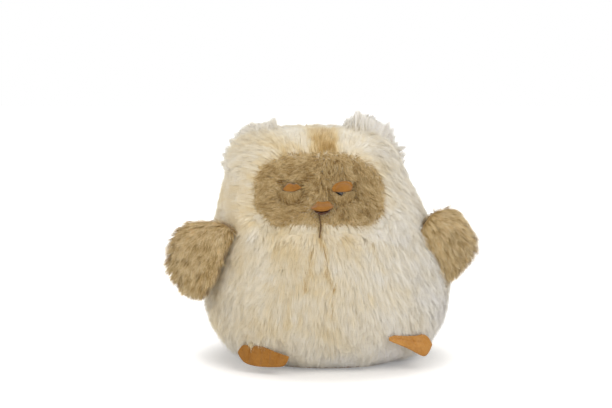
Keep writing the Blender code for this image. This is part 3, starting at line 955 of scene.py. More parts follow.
@dataclass(frozen=True)
class Wisp:
    """A pointed lock that stands out of the coat, from and to places in the picture."""

    root: Pixel
    tip: Pixel
    strands: int = 90
    spread: float = 2.6 * MM
    tint: float = 0.72
    forward: float = 0.0
    depth: float = 5.0 * MM
    tip_spread: ClassVar[float] = 0.42
    tip_depth: ClassVar[float] = 0.6
    shortening: ClassVar[float] = 0.32
    shortest: ClassVar[float] = 0.25
    splay: ClassVar[float] = 0.4
    bow: ClassVar[float] = 1.2 * MM
    bow_spread: ClassVar[float] = 0.5 * MM
    tint_spread: ClassVar[float] = 0.07
    tint_limits: ClassVar[Span] = (0.02, 0.98)
    facing: ClassVar[tuple[float, ...]] = (0.3, -0.9, 0.8)

    def grown(self, tree: BVHTree, draw: np.random.Generator) -> tuple[Array, Array, Array]:
        """The lock's strands.

        Args:
            tree: The hide that they grow from.
            draw: The random numbers.

        Returns:
            Each strand's places, the normal under it, and its tint.
        """
        root = VIEW.beside(tree, self.root)
        tip = VIEW.level_with(self.tip, root) - VIEW.ahead * self.forward
        normal = np.array(tree.find_nearest(Vector(root))[1])
        count, flow = self.strands, np.array(Coat.levels)[None, :, None]
        deep = VIEW.ahead * (draw.uniform(-1, 1, (count, 1)) * self.depth)
        starts = root + draw.normal(size=(count, 3)) * self.spread + deep
        starts = np.array([tree.find_nearest(Vector(p))[0] for p in starts.tolist()])
        shorter = np.abs(draw.normal(size=count)) * self.shortening
        reach = np.clip(1 - shorter, self.shortest, 1.0)[:, None]
        ends = tip + draw.normal(size=(count, 3)) * self.spread * self.tip_spread + deep * self.tip_depth
        ends = starts * (1 - reach) + ends * reach + (starts - root) * (1 - reach) * self.splay
        bow = draw.normal(size=(count, 3)) * self.bow_spread + normal * self.bow
        lines = starts[:, None] * (1 - flow) + ends[:, None] * flow
        lines = lines + bow[:, None] * 4 * flow * (1 - flow)
        facing = unit(normal + np.array(self.facing))
        tint = np.clip(self.tint + draw.normal(size=count) * self.tint_spread, *self.tint_limits)
        return lines, np.repeat(facing[None], count, axis=0), tint


@dataclass(frozen=True)
class Blot:
    """A patch of other tint round a place in the picture."""

    centre: Pixel
    radius: float
    shift: float


@dataclass(frozen=True)
class Parting:
    """A line in the picture along which the coat opens: its strands are shorter, and their darker tint is
    partly the underfur and partly painted shade in the valley.
    """

    line: tuple[Pixel, ...]
    shift: float = -0.30
    radius: float = 1.5 * MM


def near_line(points: Array, line: Array) -> Array:
    """How far each point is from a line of places."""
    best = np.full(len(points), np.inf)
    for start, end in zip(line[:-1], line[1:]):
        along = end - start
        share = np.clip((points - start) @ along / max(float(along @ along), EPSILON), 0, 1)
        best = np.minimum(best, np.linalg.norm(points - start - share[:, None] * along, axis=1))
    return best


def wisp_lines(wisps: Sequence[Wisp], tree: BVHTree, draw: np.random.Generator) -> tuple[Array, ...]:
    """The strands of pointed locks.

    Args:
        wisps: The locks.
        tree: The hide that they grow from.
        draw: The random numbers.

    Returns:
        Each strand's places, the normal under it, and its tint.
    """
    return tuple(np.concatenate(parts) for parts in zip(*(wisp.grown(tree, draw) for wisp in wisps)))


def tinted(places: Array, tint: Array, blots: Sequence[Blot], tree: BVHTree) -> Array:
    """Tints, or other values, shifted by the patches near their places."""
    for blot in blots:
        centre = VIEW.beside(tree, blot.centre)
        away = np.linalg.norm(places - centre, axis=1) / blot.radius
        tint = tint + blot.shift * np.exp(-away ** 2)
    return tint


# Body and head


@dataclass(frozen=True)
class Lie:
    """Which way fur is combed: to the side, back and up, and how much it fans out over a half width."""

    side: float = 0.0
    back: float = 0.0
    up: float = 0.0
    fan: float = 0.0
    half: float = 0.07

    def over(self, x: Array) -> Array:
        """The direction at each place that lies so far across."""
        return arrows(self.side + self.fan * x / self.half, self.back, self.up)


@dataclass(frozen=True)
class Zone:
    """What a part of the coat adds to its strands' length, and to their lifts at root and tip in degrees."""

    length: float = 0.0
    root: float = 0.0
    tip: float = 0.0


@dataclass(frozen=True)
class EarLie:
    """How an ear's fur stands: its lifts in degrees, length, lean to the right, and shortening outward."""

    root: float
    tip: float
    length: float
    lean: float
    shortening: float
    back: float = -0.1
    up: float = 0.7


@dataclass(frozen=True)
class Wedge:
    """The golden wedge on the brow, which narrows and darkens downward."""

    heights: Span = (0.127, 0.143)
    foot: Span = (-4.5 * MM, 7.0 * MM)
    top: Span = (-15.0 * MM, 7.0 * MM)
    ragged: Ripple = Ripple(1.2 * MM, 7 * MM, 9)
    left_edge: Span = (-5.5 * MM, 4.5 * MM)
    right_edge: Span = (-2.5 * MM, 1.5 * MM)
    lower_edge: Span = (-9 * MM, -3 * MM)
    back_edge: Span = (-12 * MM, 10 * MM)
    strength: float = 0.34
    fading: float = 0.13

    def over(self, shown: Array) -> Array:
        """How much darker the wedge makes the coat at each place."""
        x, y, z = shown.T
        top = ease(z, *self.heights)
        left, right = (low + (high - low) * top for low, high in zip(self.foot, self.top))
        x = x + self.ragged.over(shown)
        share = ease(x, *(left + edge for edge in self.left_edge))
        share = share * (1 - ease(x, *(right + edge for edge in self.right_edge)))
        share = share * ease(z, *(self.heights[0] + edge for edge in self.lower_edge))
        return share * (1 - ease(y, *self.back_edge)) * (self.strength - self.fading * top)


@dataclass
class Pelt:
    """The body and head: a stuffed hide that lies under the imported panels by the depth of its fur."""

    panels: tuple[str, ...] = (
        "front_panel_left", "front_panel_right", "back_panel", "face_panel", "base_panel",
    )
    ears: tuple[str, ...] = ("ear_tuft_left", "ear_tuft_right")
    centre: tuple[float, float, float] = (0.0, 0.0, 0.065)
    detail: int = 6
    evening: int = 5
    cream_depth: float = 4.6 * MM
    face_depth: float = 2.6 * MM
    face_edge: Span = (-1.2 * MM, 1.2 * MM)
    filling_depth: float = 4.0 * MM
    lumps: Ripple = Ripple(0.8 * MM, 14 * MM, 41)
    face_shifts: tuple[Blot, ...] = (
        Blot((302, 227), 9.0 * MM, -1.0 * MM),
        Blot((345, 227), 12.0 * MM, -1.0 * MM),
        Blot((260, 217), 6.0 * MM, -2.8 * MM),
        Blot((331, 151), 6.0 * MM, 1.8 * MM),
        Blot((378, 161), 5.0 * MM, 1.8 * MM),
    )
    outer: RoundForm = field(init=False)
    hide: RoundForm = field(init=False)
    gaps: dict[str, Array] = field(init=False, default_factory=dict)
    edge: Array = field(init=False)

    @staticmethod
    def cream_gap(gaps: dict[str, Array]) -> Array:
        """How far each place is from the nearest panel with long cream fur, without the ears."""
        fronts = np.minimum(gaps["front_panel_left"], gaps["front_panel_right"])
        return np.minimum(fronts, gaps["back_panel"])

    def build(self) -> None:
        """Finds the form under the panels, and builds the hide and the filling inside it."""
        nodes = (*self.panels, *self.ears)
        self.outer = RoundForm.under(nodes, np.array(self.centre), self.detail, self.evening)
        self.gaps = {name: self.outer.distances(name) for name in nodes}
        inside = self.cream_gap(self.gaps) - self.gaps["face_panel"]
        self.edge = tinted(self.outer.places, inside, self.face_shifts, self.outer.tree())
        face = ease(self.edge, *self.face_edge)
        self.hide = self.outer.sunk(self.cream_depth + (self.face_depth - self.cream_depth) * face)
        hide = settle(self.hide.piece("hide_body"), BODY, Finish.HIDE,
                      ("front_panel_left", "front_panel_right", "back_panel", "face_panel"))
        lumps = self.hide.sunk(self.filling_depth)
        lumps = lumps.sunk(self.lumps.over(lumps.places))
        filling = settle(lumps.piece("filling_body"), BODY, Finish.FILLING, ("body_stuffing",))


@dataclass
class CreamCoat:
    """The long cream coat of the body, head and ears, with its rolls, partings and golden wedge."""

    pelt: Pelt
    seed: int = 11
    coat: Coat = Coat(0.19 * MM, 1.3 * MM, 4.5 * MM)
    front_density: float = 11.0e6
    back_density: float = 8.0e6
    thinning: Span = (0.0, 20 * MM)
    face_rim: Span = (0.0, 2.2 * MM)
    base_gap: float = 1.5 * MM
    seam_top: Pixel = (320.0, 226.0)
    face_middle: float = -4.5 * MM
    body_lie: Lie = Lie(fan=0.42, up=-1.0)
    top_lie: Lie = Lie(fan=0.4, back=0.9, up=0.9, half=0.04)
    brow_lie: Lie = Lie(fan=0.5, up=-0.9, half=0.04)
    left_lie: Lie = Lie(side=-1.0, back=0.5, up=0.05)
    right_lie: Lie = Lie(side=0.75, back=0.25, up=-0.75)
    behind_lie: Lie = Lie(fan=0.1, back=0.25, up=-1.0)
    behind_head: float = 0.15
    chin_fan: float = 0.35
    chin_drop: float = 22 * MM
    chin_reach: Span = (16 * MM, 42 * MM)
    head_rise: Span = (0.078, 0.094)
    brow_rise: Span = (0.086, 0.096)
    sides: Span = (8 * MM, 34 * MM)
    back_start: Span = (-2 * MM, 20 * MM)
    swirl: Ripple = Ripple(0.30, 26 * MM, 7)
    length: float = 10.0 * MM
    root_lift: float = 42.0
    tip_lift: float = 10.0
    zones: dict[str, Zone] = field(default_factory=lambda: {
        "crown": Zone(length=-1.8 * MM),
        "hem": Zone(length=-2.0 * MM),
        "chin": Zone(-1.0 * MM, 24, -20),
        "rim": Zone(-3.4 * MM, -10),
        "sleek": Zone(-2.0 * MM, -12),
        "notch": Zone(length=-3.5 * MM),
        "roll": Zone(-4.2 * MM, 4),
        "skirt": Zone(0.0, 10, 14),
        "behind": Zone(0.0, 12, 12),
        "rounding": Zone(0.0, -8, -22),
    })
    ear_lies: dict[str, EarLie] = field(default_factory=lambda: {
        "left": EarLie(34, 6, 7.6 * MM, -0.7, 0.0),
        "right": EarLie(66, 48, 7.4 * MM, 0.45, 0.42),
    })
    ear_edge: Span = (-2.5 * MM, 2.5 * MM)
    ear_side: Span = (17 * MM, 31 * MM)
    ear_comb: float = 0.8
    shown_share: float = 0.6
    shown_height: float = 3.0 * MM
    tint: float = 0.54
    patches: tuple[Ripple, ...] = (Ripple(0.07, 30 * MM, 3), Ripple(0.04, 9 * MM, 4))
    # Painted light: the fur is tinted lighter towards the right, the side that the key lamp faces.
    painted_light_right: float = 0.19
    right_part: Span = (-10 * MM, 50 * MM)
    darker_rim: float = 0.09
    dark_rim: Span = (0.0, 3.4 * MM)
    # Painted light: the fur is tinted lighter towards the bottom, against the shade low on the belly.
    hem_painted_light: float = 0.20
    light_hem: Span = (6 * MM, 34 * MM)
    lighter_ears: float = 0.16
    wedge: Wedge = Wedge()
    parting_depth: float = 5.5 * MM
    partings: tuple[Parting, ...] = (
        Parting(((320, 226), (321, 243), (326, 256), (325, 273), (334, 290)), -0.44, 1.3 * MM),
        Parting(((330, 301), (333, 316)), -0.32, 1.2 * MM),
        Parting(((313, 252), (307, 276), (305, 292)), -0.30, 1.2 * MM),
        Parting(((372, 243), (377, 260), (384, 275)), -0.24, 1.2 * MM),
        Parting(((289, 305), (289, 323)), -0.16),
        Parting(((301, 311), (301, 321)), -0.16),
        Parting(((368, 294), (372, 303)), -0.18),
        Parting(((392, 300), (399, 318)), -0.14),
    )
    blots: tuple[Blot, ...] = (
        Blot((265, 138), 4.0 * MM, -0.08),
        Blot((277, 140), 9.0 * MM, -0.06),
        Blot((232, 194), 12 * MM, -0.06),
        # Painted light: this blot lightens the shaded far right of the belly.
        Blot((436, 300), 14 * MM, 0.12),
        Blot((290, 247), 14 * MM, -0.13),
        Blot((352, 247), 9 * MM, -0.06),
        Blot((326, 300), 14 * MM, -0.05),
        Blot((238, 225), 8 * MM, -0.08),
    )
    side_wisps: tuple[Wisp, ...] = (
        Wisp((236, 141), (226, 139), 120, 2.0 * MM, 0.80),
        Wisp((234, 149), (222, 148), 150, 2.0 * MM, 0.78),
        Wisp((233, 156), (219, 154), 170, 2.0 * MM, 0.80),
        Wisp((233, 164), (218, 162), 170, 2.0 * MM, 0.78),
        Wisp((234, 169), (222, 168), 100, 1.6 * MM, 0.78),
        Wisp((396, 148), (410, 146), 170, 1.8 * MM, 0.82),
        Wisp((397, 155), (408, 153), 140, 1.8 * MM, 0.82),
        Wisp((398, 162), (407, 159), 110, 1.8 * MM, 0.82),
        Wisp((247, 338), (249, 350), 90, 1.6 * MM, 0.34, 7.0 * MM, 0.0),
        Wisp((254, 339), (252, 351), 110, 1.4 * MM, 0.40, 7.0 * MM, 0.0),
        Wisp((262, 341), (264, 350), 90, 1.8 * MM, 0.42, 7.0 * MM, 0.0),
        Wisp((272, 344), (273, 353), 80, 1.8 * MM, 0.44, 7.0 * MM, 0.0),
        Wisp((280, 348), (281, 356), 60, 1.6 * MM, 0.44, 6.0 * MM, 0.0),
    )
    ear_wisps: dict[str, tuple[Wisp, ...]] = field(default_factory=lambda: {
        "left": (
            Wisp((257, 130), (249, 120), 130, 1.8 * MM, 0.82),
            Wisp((259, 131), (260, 124), 150, 2.4 * MM, 0.80),
            Wisp((264, 131), (266, 121.5), 200, 2.4 * MM, 0.78),
            Wisp((268, 131), (271, 119), 240, 2.4 * MM, 0.76),
            Wisp((270, 131), (275, 116.5), 300, 2.2 * MM, 0.76),
            Wisp((248, 134), (240, 126), 150, 2.4 * MM, 0.82),
            Wisp((243, 138), (233, 131), 150, 2.4 * MM, 0.82),
            Wisp((238, 142), (229, 138), 130, 2.2 * MM, 0.82),
        ),
        "right": (
            Wisp((350, 130), (346, 116), 240, 2.2 * MM, 0.80),
            Wisp((354, 128), (351, 113.5), 260, 2.4 * MM, 0.80),
            Wisp((359, 128), (357, 107.5), 320, 2.4 * MM, 0.82),
            Wisp((363, 130), (363, 112.5), 240, 2.6 * MM, 0.82),
            Wisp((370, 132), (373, 118), 240, 2.6 * MM, 0.82),
            Wisp((376, 134), (384, 121), 220, 2.2 * MM, 0.84),
            Wisp((380, 136), (391, 120.5), 220, 2.0 * MM, 0.84),
            Wisp((383, 139), (396, 125), 200, 2.0 * MM, 0.84),
            Wisp((386, 143), (397, 132), 180, 2.2 * MM, 0.84),
            Wisp((389, 149), (401, 141), 150, 2.2 * MM, 0.84),
        ),
    })
    bands: dict[str, Span] = field(default_factory=lambda: {
        "belly": (-1.0, 0.046),
        "chest": (0.046, 0.090),
        "head": (0.090, 1.0),
    })
    crown_rise: Span = (0.100, 0.130)
    hem_top: Span = (4 * MM, 14 * MM)
    front_end: Span = (-20 * MM, 5 * MM)
    chin_width: Span = (1.0 * MM, 9 * MM)
    chin_top: Span = (0.090, 0.096)
    rim_width: Span = (1.0 * MM, 7 * MM)
    sleek_side: Span = (34 * MM, 50 * MM)
    sleek_foot: Span = (0.080, 0.092)
    sleek_top: Span = (0.112, 0.120)
    notch_width: float = 2.0 * MM
    roll_width: Span = (0.0, 5.0 * MM)
    skirt_foot: Span = (3 * MM, 10 * MM)
    skirt_top: Span = (0.050, 0.075)
    skirt_side: Span = (38 * MM, 58 * MM)
    behind_start: Span = (-5 * MM, 15 * MM)
    round_low: Span = (0.30, 0.65)
    round_high: Span = (0.93, 0.99)
    round_back: Span = (-12 * MM, 2 * MM)

    def _comb(self, places: Array, normals: Array) -> Array:
        """Which way the cream fur is combed.

        Args:
            places: Places on the hide.
            normals: The hide's normals there.

        Returns:
            Unit directions along the hide.
        """
        x, y, z = places.T
        across = x - self.face_middle
        body = self.body_lie.over(x)
        seam = VIEW.beside(self.pelt.hide.tree(), self.seam_top)
        fan = arrows((x - seam[0]) * self.chin_fan, 0.0, z - seam[2] - self.chin_drop)
        fan_share = 1 - ease(np.hypot(x - seam[0], z - seam[2]), *self.chin_reach)
        body = body + (unit(fan) - body) * fan_share[:, None]
        head = ease(z, *self.head_rise)
        back = ease(y, *self.back_start)
        left, right = ease(-across, *self.sides), ease(across, *self.sides)
        crown = self.top_lie.over(across) * (1 - left - right)[:, None]
        crown = crown + self.left_lie.over(x) * left[:, None] + self.right_lie.over(x) * right[:, None]
        crown = crown + (self.brow_lie.over(across) - crown) * (1 - ease(z, *self.brow_rise))[:, None]
        down = self.behind_lie.over(x)
        down[:, 1] += self.behind_head * head
        way = body + (crown - body) * (head * (1 - back))[:, None]
        way = way + (down - way) * back[:, None]
        return turned(on_surface(unit(way), normals), normals, self.swirl.over(places))

    def _zone_shares(self, places: Array, normals: Array, outside: Array) -> dict[str, Array]:
        """How much each place belongs to each zone of the coat.

        Args:
            places: Places on the hide.
            normals: The hide's normals there.
            outside: How far each place is outside the face.

        Returns:
            A share from 0 to 1 for each place, by the zone's name.
        """
        x, y, z = places.T
        front = 1 - ease(y, *self.front_end)
        chin = front * (1 - ease(outside, *self.chin_width)) * (1 - ease(z, *self.chin_top))
        seam = VIEW.beside(self.pelt.hide.tree(), self.seam_top)
        skirt = ease(z, *self.skirt_foot) * (1 - ease(z, *self.skirt_top))
        rounding = ease(normals[:, 2], *self.round_low) * (1 - ease(normals[:, 2], *self.round_high))
        sleek = ease(-x, *self.sleek_side) * ease(z, *self.sleek_foot)
        return {
            "crown": ease(z, *self.crown_rise),
            "hem": 1 - ease(z, *self.hem_top),
            "chin": chin,
            "rim": (1 - ease(outside, *self.rim_width)) * (1 - chin) * front,
            "sleek": sleek * (1 - ease(z, *self.sleek_top)),
            "notch": chin * np.exp(-((x - seam[0]) / self.notch_width) ** 2),
            "roll": chin * (1 - ease(outside, *self.roll_width)),
            "skirt": skirt * ease(np.abs(x), *self.skirt_side),
            "behind": ease(y, *self.behind_start),
            "rounding": rounding * ease(y, *self.round_back),
        }

    def _valleys(self, places: Array, tree: BVHTree) -> Array:
        """How deep in the coat's partings each place lies, as their shifts of tint, which partly paint the
        shade in the partings.
        """
        depth = np.zeros(len(places))
        for parting in self.partings:
            line = np.array([VIEW.beside(tree, pixel) for pixel in parting.line])
            away = near_line(places, line - VIEW.ahead * self.shown_height)
            depth = depth + parting.shift * np.exp(-(away / parting.radius) ** 2)
        return depth

    def _density(self) -> Array:
        """Strands a square metre at each of the hide's places: none on the face or the base."""
        thin = ease(self.pelt.outer.places[:, 1], *self.thinning)
        density = self.front_density + (self.back_density - self.front_density) * thin
        density = density * (1 - ease(self.pelt.edge, *self.face_rim))
        return density * (self.pelt.gaps["base_panel"] > self.base_gap)

    def _roots(self, draw: np.random.Generator) -> tuple[Roots, dict[str, Array]]:
        """Where the strands start and how they lie, and how far each is from every panel."""
        hide, tree = self.pelt.hide, self.pelt.hide.tree()
        spots = hide.scattered(self._density(), draw)
        places, normals = spots.of(hide.places), unit(spots.of(hide.normals()))
        gaps = {name: spots.of(values) for name, values in self.pelt.gaps.items()}
        outside = -spots.of(self.pelt.edge)
        x, z = places[:, 0], places[:, 2]
        comb = self._comb(places, normals)
        shares = self._zone_shares(places, normals, outside)
        length, root_lift, tip_lift = self.length, math.radians(self.root_lift), math.radians(self.tip_lift)
        for name, zone in self.zones.items():
            length = length + zone.length * shares[name]
            root_lift = root_lift + math.radians(zone.root) * shares[name]
            tip_lift = tip_lift + math.radians(zone.tip) * shares[name]
        on_ears = np.zeros(len(x))
        for side, ear in self.ear_lies.items():
            share = ease(self.pelt.cream_gap(gaps) - gaps[f"ear_tuft_{side}"], *self.ear_edge)
            root_lift = root_lift + (math.radians(ear.root) - root_lift) * share
            tip_lift = tip_lift + (math.radians(ear.tip) - tip_lift) * share
            falling = 1 - ear.shortening * ease(x, *self.ear_side)
            length = length + (ear.length * falling - length) * share
            out = unit(Lie(side=ear.lean, back=ear.back, up=ear.up).over(x))
            comb = on_surface(comb + (out - comb) * share[:, None] * self.ear_comb, normals)
            on_ears = on_ears + share
        shown = places + comb * (length * self.shown_share)[:, None] + normals * self.shown_height
        tint = self.tint + sum(patch.over(shown) for patch in self.patches)
        tint = tint + self.painted_light_right * ease(x, *self.right_part)
        tint = tint - self.darker_rim * (1 - ease(outside, *self.dark_rim)) * (1 - shares["chin"])
        tint = tint + self.hem_painted_light * (1 - ease(z, *self.light_hem)) + self.lighter_ears * on_ears
        tint = tinted(shown, tint, self.blots, tree)
        valley = self._valleys(shown, tree)
        # The partings' darker tint is partly painted shade.
        tint = tint + valley - self.wedge.over(shown)
        length = length + self.parting_depth * valley
        return Roots(places, normals, comb, length, tint, root_lift, tip_lift), gaps

    def build(self) -> None:
        """Builds the ears' coats, the coat in twelve pieces by band, face and side, and the side wisps."""
        draw = np.random.default_rng(self.seed)
        roots, gaps = self._roots(draw)
        behind = gaps["back_panel"] < np.minimum(gaps["front_panel_left"], gaps["front_panel_right"])
        rightward = gaps["front_panel_right"] < gaps["front_panel_left"]
        x, z = roots.place[:, 0], roots.place[:, 2]
        on_ear = np.zeros(len(x), bool)
        for side, wisps in self.ear_wisps.items():
            mask = gaps[f"ear_tuft_{side}"] < self.pelt.cream_gap(gaps)
            on_ear |= mask
            self._ear_piece(side, roots.kept(mask), wisps, draw)
        for part, (low, high) in self.bands.items():
            band = (z >= low) & (z < high) & ~on_ear
            for side, mask in (("left", ~rightward), ("right", rightward)):
                piece = self.coat.piece(f"fur_{part}_{side}", roots.kept(band & ~behind & mask), draw)
                settle(piece, BODY, Finish.CREAM_FUR, (f"front_panel_{side}",))
            for side, mask in (("left", x < 0), ("right", x >= 0)):
                piece = self.coat.piece(f"fur_back_{part}_{side}", roots.kept(band & behind & mask), draw)
                settle(piece, BODY, Finish.CREAM_FUR, ("back_panel",))
        lines, normals, tint = wisp_lines(self.side_wisps, self.pelt.hide.tree(), draw)
        piece = self.coat.ribbons("fur_head_wisps", lines, normals, tint, draw)
        settle(piece, BODY, Finish.CREAM_FUR)

    def _ear_piece(self, side: str, roots: Roots, wisps: Sequence[Wisp], draw: np.random.Generator) -> None:
        """Builds an ear tuft's coat, with its pointed wisps.

        Args:
            side: Which ear.
            roots: Where its strands start.
            wisps: Its pointed locks.
            draw: The random numbers.
        """
        lines, tint = self.coat.curves(roots, draw)
        more = wisp_lines(wisps, self.pelt.hide.tree(), draw)
        whole = (np.concatenate(pair) for pair in zip((lines, roots.normal, tint), more))
        piece = self.coat.ribbons(f"fur_ear_{side}", *whole, draw)
        settle(piece, BODY, Finish.CREAM_FUR, (f"ear_tuft_{side}",))


@dataclass(frozen=True)
class Cheek:
    """The fur over a bead eye: its strands, and how far under the lid's two ends it stops."""

    strands: int
    inner: float
    outer: float


@dataclass
class FaceCoat:
    """The face's short tan coat, trimmed round the lids and the beak, and the cheeks under the bead eyes."""

    pelt: Pelt
    seed: int = 12
    density: float = 12.0e6
    coat: Coat = Coat(
        0.16 * MM, 0.9 * MM, 2.4 * MM, stray=math.radians(12), lock_turn=math.radians(10),
        tuft_turn=math.radians(12), tint_spread=0.12, lock_tint=0.09, tuft_tint=0.06, lock_pull=0.28,
        tuft_pull=0.14, softness=0.85,
    )
    centre: Span = (-4.5 * MM, 106.5 * MM)
    half: Span = (40 * MM, 24 * MM)
    thinning: Span = (0.2 * MM, 3.4 * MM)
    left_lie: Lie = Lie(side=-1.0, up=-0.25)
    right_lie: Lie = Lie(side=0.25, up=-1.0)
    middle: Span = (-12 * MM, 12 * MM)
    rim_width: Span = (2.0 * MM, 9 * MM)
    rim_turn: float = 0.85
    swirl: Ripple = Ripple(0.5, 11 * MM, 21)
    length: float = 4.4 * MM
    rim_shorter: float = 1.9 * MM
    uneven: Ripple = Ripple(0.4 * MM, 8 * MM, 22)
    trimming: float = 0.55
    trimmed_nodes: tuple[str, ...] = ("eyelid_left", "eyelid_right", "beak")
    trim_margin: float = 1.2 * MM
    trim_edge: Span = (0.8, 1.3)
    tint: float = 0.37
    patches: tuple[Ripple, ...] = (Ripple(0.06, 9 * MM, 23), Ripple(0.06, 3.5 * MM, 24))
    rim_lighter: float = 0.14
    root_lift: float = 52.0
    rim_flatter: float = 16.0
    tip_lift: float = 18.0
    # Darker blots in the face fur: its own mottling, and painted shade round the lids and under the beak.
    mottles_and_shade: tuple[Blot, ...] = (
        Blot((283, 182), 2.2 * MM, -0.22),
        Blot((311, 177), 2.6 * MM, -0.22),
        Blot((270, 158), 5 * MM, -0.12),
        Blot((266, 172), 4 * MM, -0.12),
        Blot((352, 184), 3.0 * MM, -0.22),
        Blot((283, 224), 3.0 * MM, -0.20),
        Blot((306, 190), 3.0 * MM, -0.10),
        Blot((335, 222), 4.0 * MM, -0.10),
        Blot((360, 195), 5.0 * MM, -0.05),
        Blot((320, 222), 1.6 * MM, -0.40),
        Blot((313, 180), 8.0 * MM, -0.08),
    )
    cheeks: dict[str, Cheek] = field(default_factory=lambda: {
        "left": Cheek(2300, -1.2 * MM, -1.0 * MM),
        "right": Cheek(2300, 1.0 * MM, -1.0 * MM),
    })
    cheek_turn: Span = (math.radians(165), math.radians(375))
    cheek_ring: float = 3.4
    cheek_step: Span = (0.0, 1.5)
    cheek_reach: Span = (0.25, 1.7)
    cheek_inward: float = 0.3
    cheek_spread: float = 1.0 * MM
    cheek_forward: float = 0.5 * MM
    cheek_depth: float = 0.25 * MM
    cheek_knee: float = 1.3 * MM
    cheek_tint: float = 0.30
    cheek_tint_spread: float = 0.16
    cheek_tint_limits: Span = (0.02, 0.9)

    def build(self) -> None:
        """Builds the face's coat and the cheeks."""
        draw = np.random.default_rng(self.seed)
        hide = self.pelt.hide
        spots = hide.scattered(self.density * ease(self.pelt.edge, *self.thinning), draw)
        places, normals = spots.of(hide.places), unit(spots.of(hide.normals()))
        rim = 1 - ease(spots.of(self.pelt.edge), *self.rim_width)
        comb = self._comb(places, normals, rim)
        length = self.length - self.rim_shorter * rim + self.uneven.over(places)
        length = length * (1 - self.trimming * self._trim(places))
        broad, fine = (patch.over(places) for patch in self.patches)
        tint = self.tint + broad + fine + self.rim_lighter * rim
        tint = tinted(places, tint, self.mottles_and_shade, hide.tree())
        root_lift = math.radians(self.root_lift) - math.radians(self.rim_flatter) * rim
        tip_lift = np.full(len(places), math.radians(self.tip_lift))
        roots = Roots(places, normals, comb, length, tint, root_lift, tip_lift)
        settle(self.coat.piece("fur_face", roots, draw), BODY, Finish.TAN_FUR, ("face_panel",))
        self._cheeks(draw)

    def _comb(self, places: Array, normals: Array, rim: Array) -> Array:
        """Which way the face's fur is combed: down and outward, and round the face along its rim.

        Args:
            places: Places on the hide.
            normals: The hide's normals there.
            rim: How near the face's rim each is, from 0 to 1.

        Returns:
            Unit directions along the hide.
        """
        x, z = places[:, 0], places[:, 2]
        across, above = x - self.centre[0], z - self.centre[1]
        left, right = self.left_lie.over(x), self.right_lie.over(x)
        flow = left + (right - left) * ease(across, *self.middle)[:, None]
        turn = np.where(across < 0, 1.0, -1.0)
        around = arrows(-turn * (above / self.half[1]), 0.0, turn * (across / self.half[0]))
        flow = unit(flow) + (unit(around) - unit(flow)) * (rim * self.rim_turn)[:, None]
        return turned(on_surface(flow, normals), normals, self.swirl.over(places))

    def _cheeks(self, draw: np.random.Generator) -> None:
        """Builds the fur that stands up over the lower half of each bead eye."""
        made = [self._cheek(side, cheek, draw) for side, cheek in self.cheeks.items()]
        lines, normals, tints = (np.concatenate(parts) for parts in zip(*made))
        piece = self.coat.ribbons("fur_cheeks", lines, normals, tints, draw)
        settle(piece, BODY, Finish.TAN_FUR)

    def _cheek(self, side: str, cheek: Cheek, draw: np.random.Generator) -> tuple[Array, Array, Array]:
        """The fur over one bead eye.

        Args:
            side: Which eye.
            cheek: The fur's measures.
            draw: The random numbers.

        Returns:
            Each strand's places, the normal under it, and its tint.
        """
        tree, count = self.pelt.hide.tree(), cheek.strands
        low, high = box_of(f"eye_{side}")
        lid_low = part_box(f"eyelid_{side}")[0]
        middle = (low + high) / 2
        turn = draw.uniform(*self.cheek_turn, count)
        radius = (high[0] - low[0]) / 2 + draw.uniform(0.0, self.cheek_ring, count) * MM
        starts = middle + arrows(np.cos(turn) * radius, 0.0, np.sin(turn) * radius)
        near = [tree.find_nearest(Vector((p[0], low[1], p[2]))) for p in starts.tolist()]
        starts, out = (np.array([found[i] for found in near]) for i in range(2))
        outer = ease((starts[:, 0] - middle[0]) / MM, *self.cheek_step)
        slits = cheek.inner + (cheek.outer - cheek.inner) * outer
        reach = np.minimum(draw.uniform(*self.cheek_reach, count), 1.0)
        inward = (middle[0] - starts[:, 0]) * self.cheek_inward * reach
        tips = np.stack([
            starts[:, 0] + inward + draw.normal(size=count) * self.cheek_spread,
            np.full(count, low[1] - self.cheek_forward) + draw.normal(size=count) * self.cheek_depth,
            starts[:, 2] + (lid_low[2] - slits - starts[:, 2]) * reach,
        ], axis=1)
        knees = starts * 0.5 + tips * 0.5 + out * self.cheek_knee
        tint = self.cheek_tint + draw.normal(size=count) * self.cheek_tint_spread
        return np.stack([starts, knees, tips], axis=1), out, np.clip(tint, *self.cheek_tint_limits)

    def _trim(self, places: Array) -> Array:
        """How closely the face fur is trimmed, which is close round the lids and the beak."""
        trim = np.zeros(len(places))
        for node in self.trimmed_nodes:
            low, high = box_of(node)
            middle, half = (low + high) / 2, (high - low) / 2 + self.trim_margin
            away = np.hypot((places[:, 0] - middle[0]) / half[0], (places[:, 2] - middle[2]) / half[2])
            trim = np.maximum(trim, 1 - ease(away, *self.trim_edge))
        return trim


@dataclass
class EarTuft:
    """The backing of a loose tuft of long fur on the crown, which the cream coat covers."""

    side: str
    detail: int = 4
    evening: int = 3
    share: float = 0.5
    drop: float = 3.0 * MM

    def build(self) -> None:
        """Builds the tuft's backing."""
        node = f"ear_tuft_{self.side}"
        low, high = box_of(node)
        hide = RoundForm.under([node], (low + high) / 2, self.detail, self.evening).shrunk(self.share)
        hide.places[:, 2] -= self.drop
        piece = settle(hide.piece(f"hide_ear_{self.side}"), BODY, Finish.HIDE, (node,))


# Wings


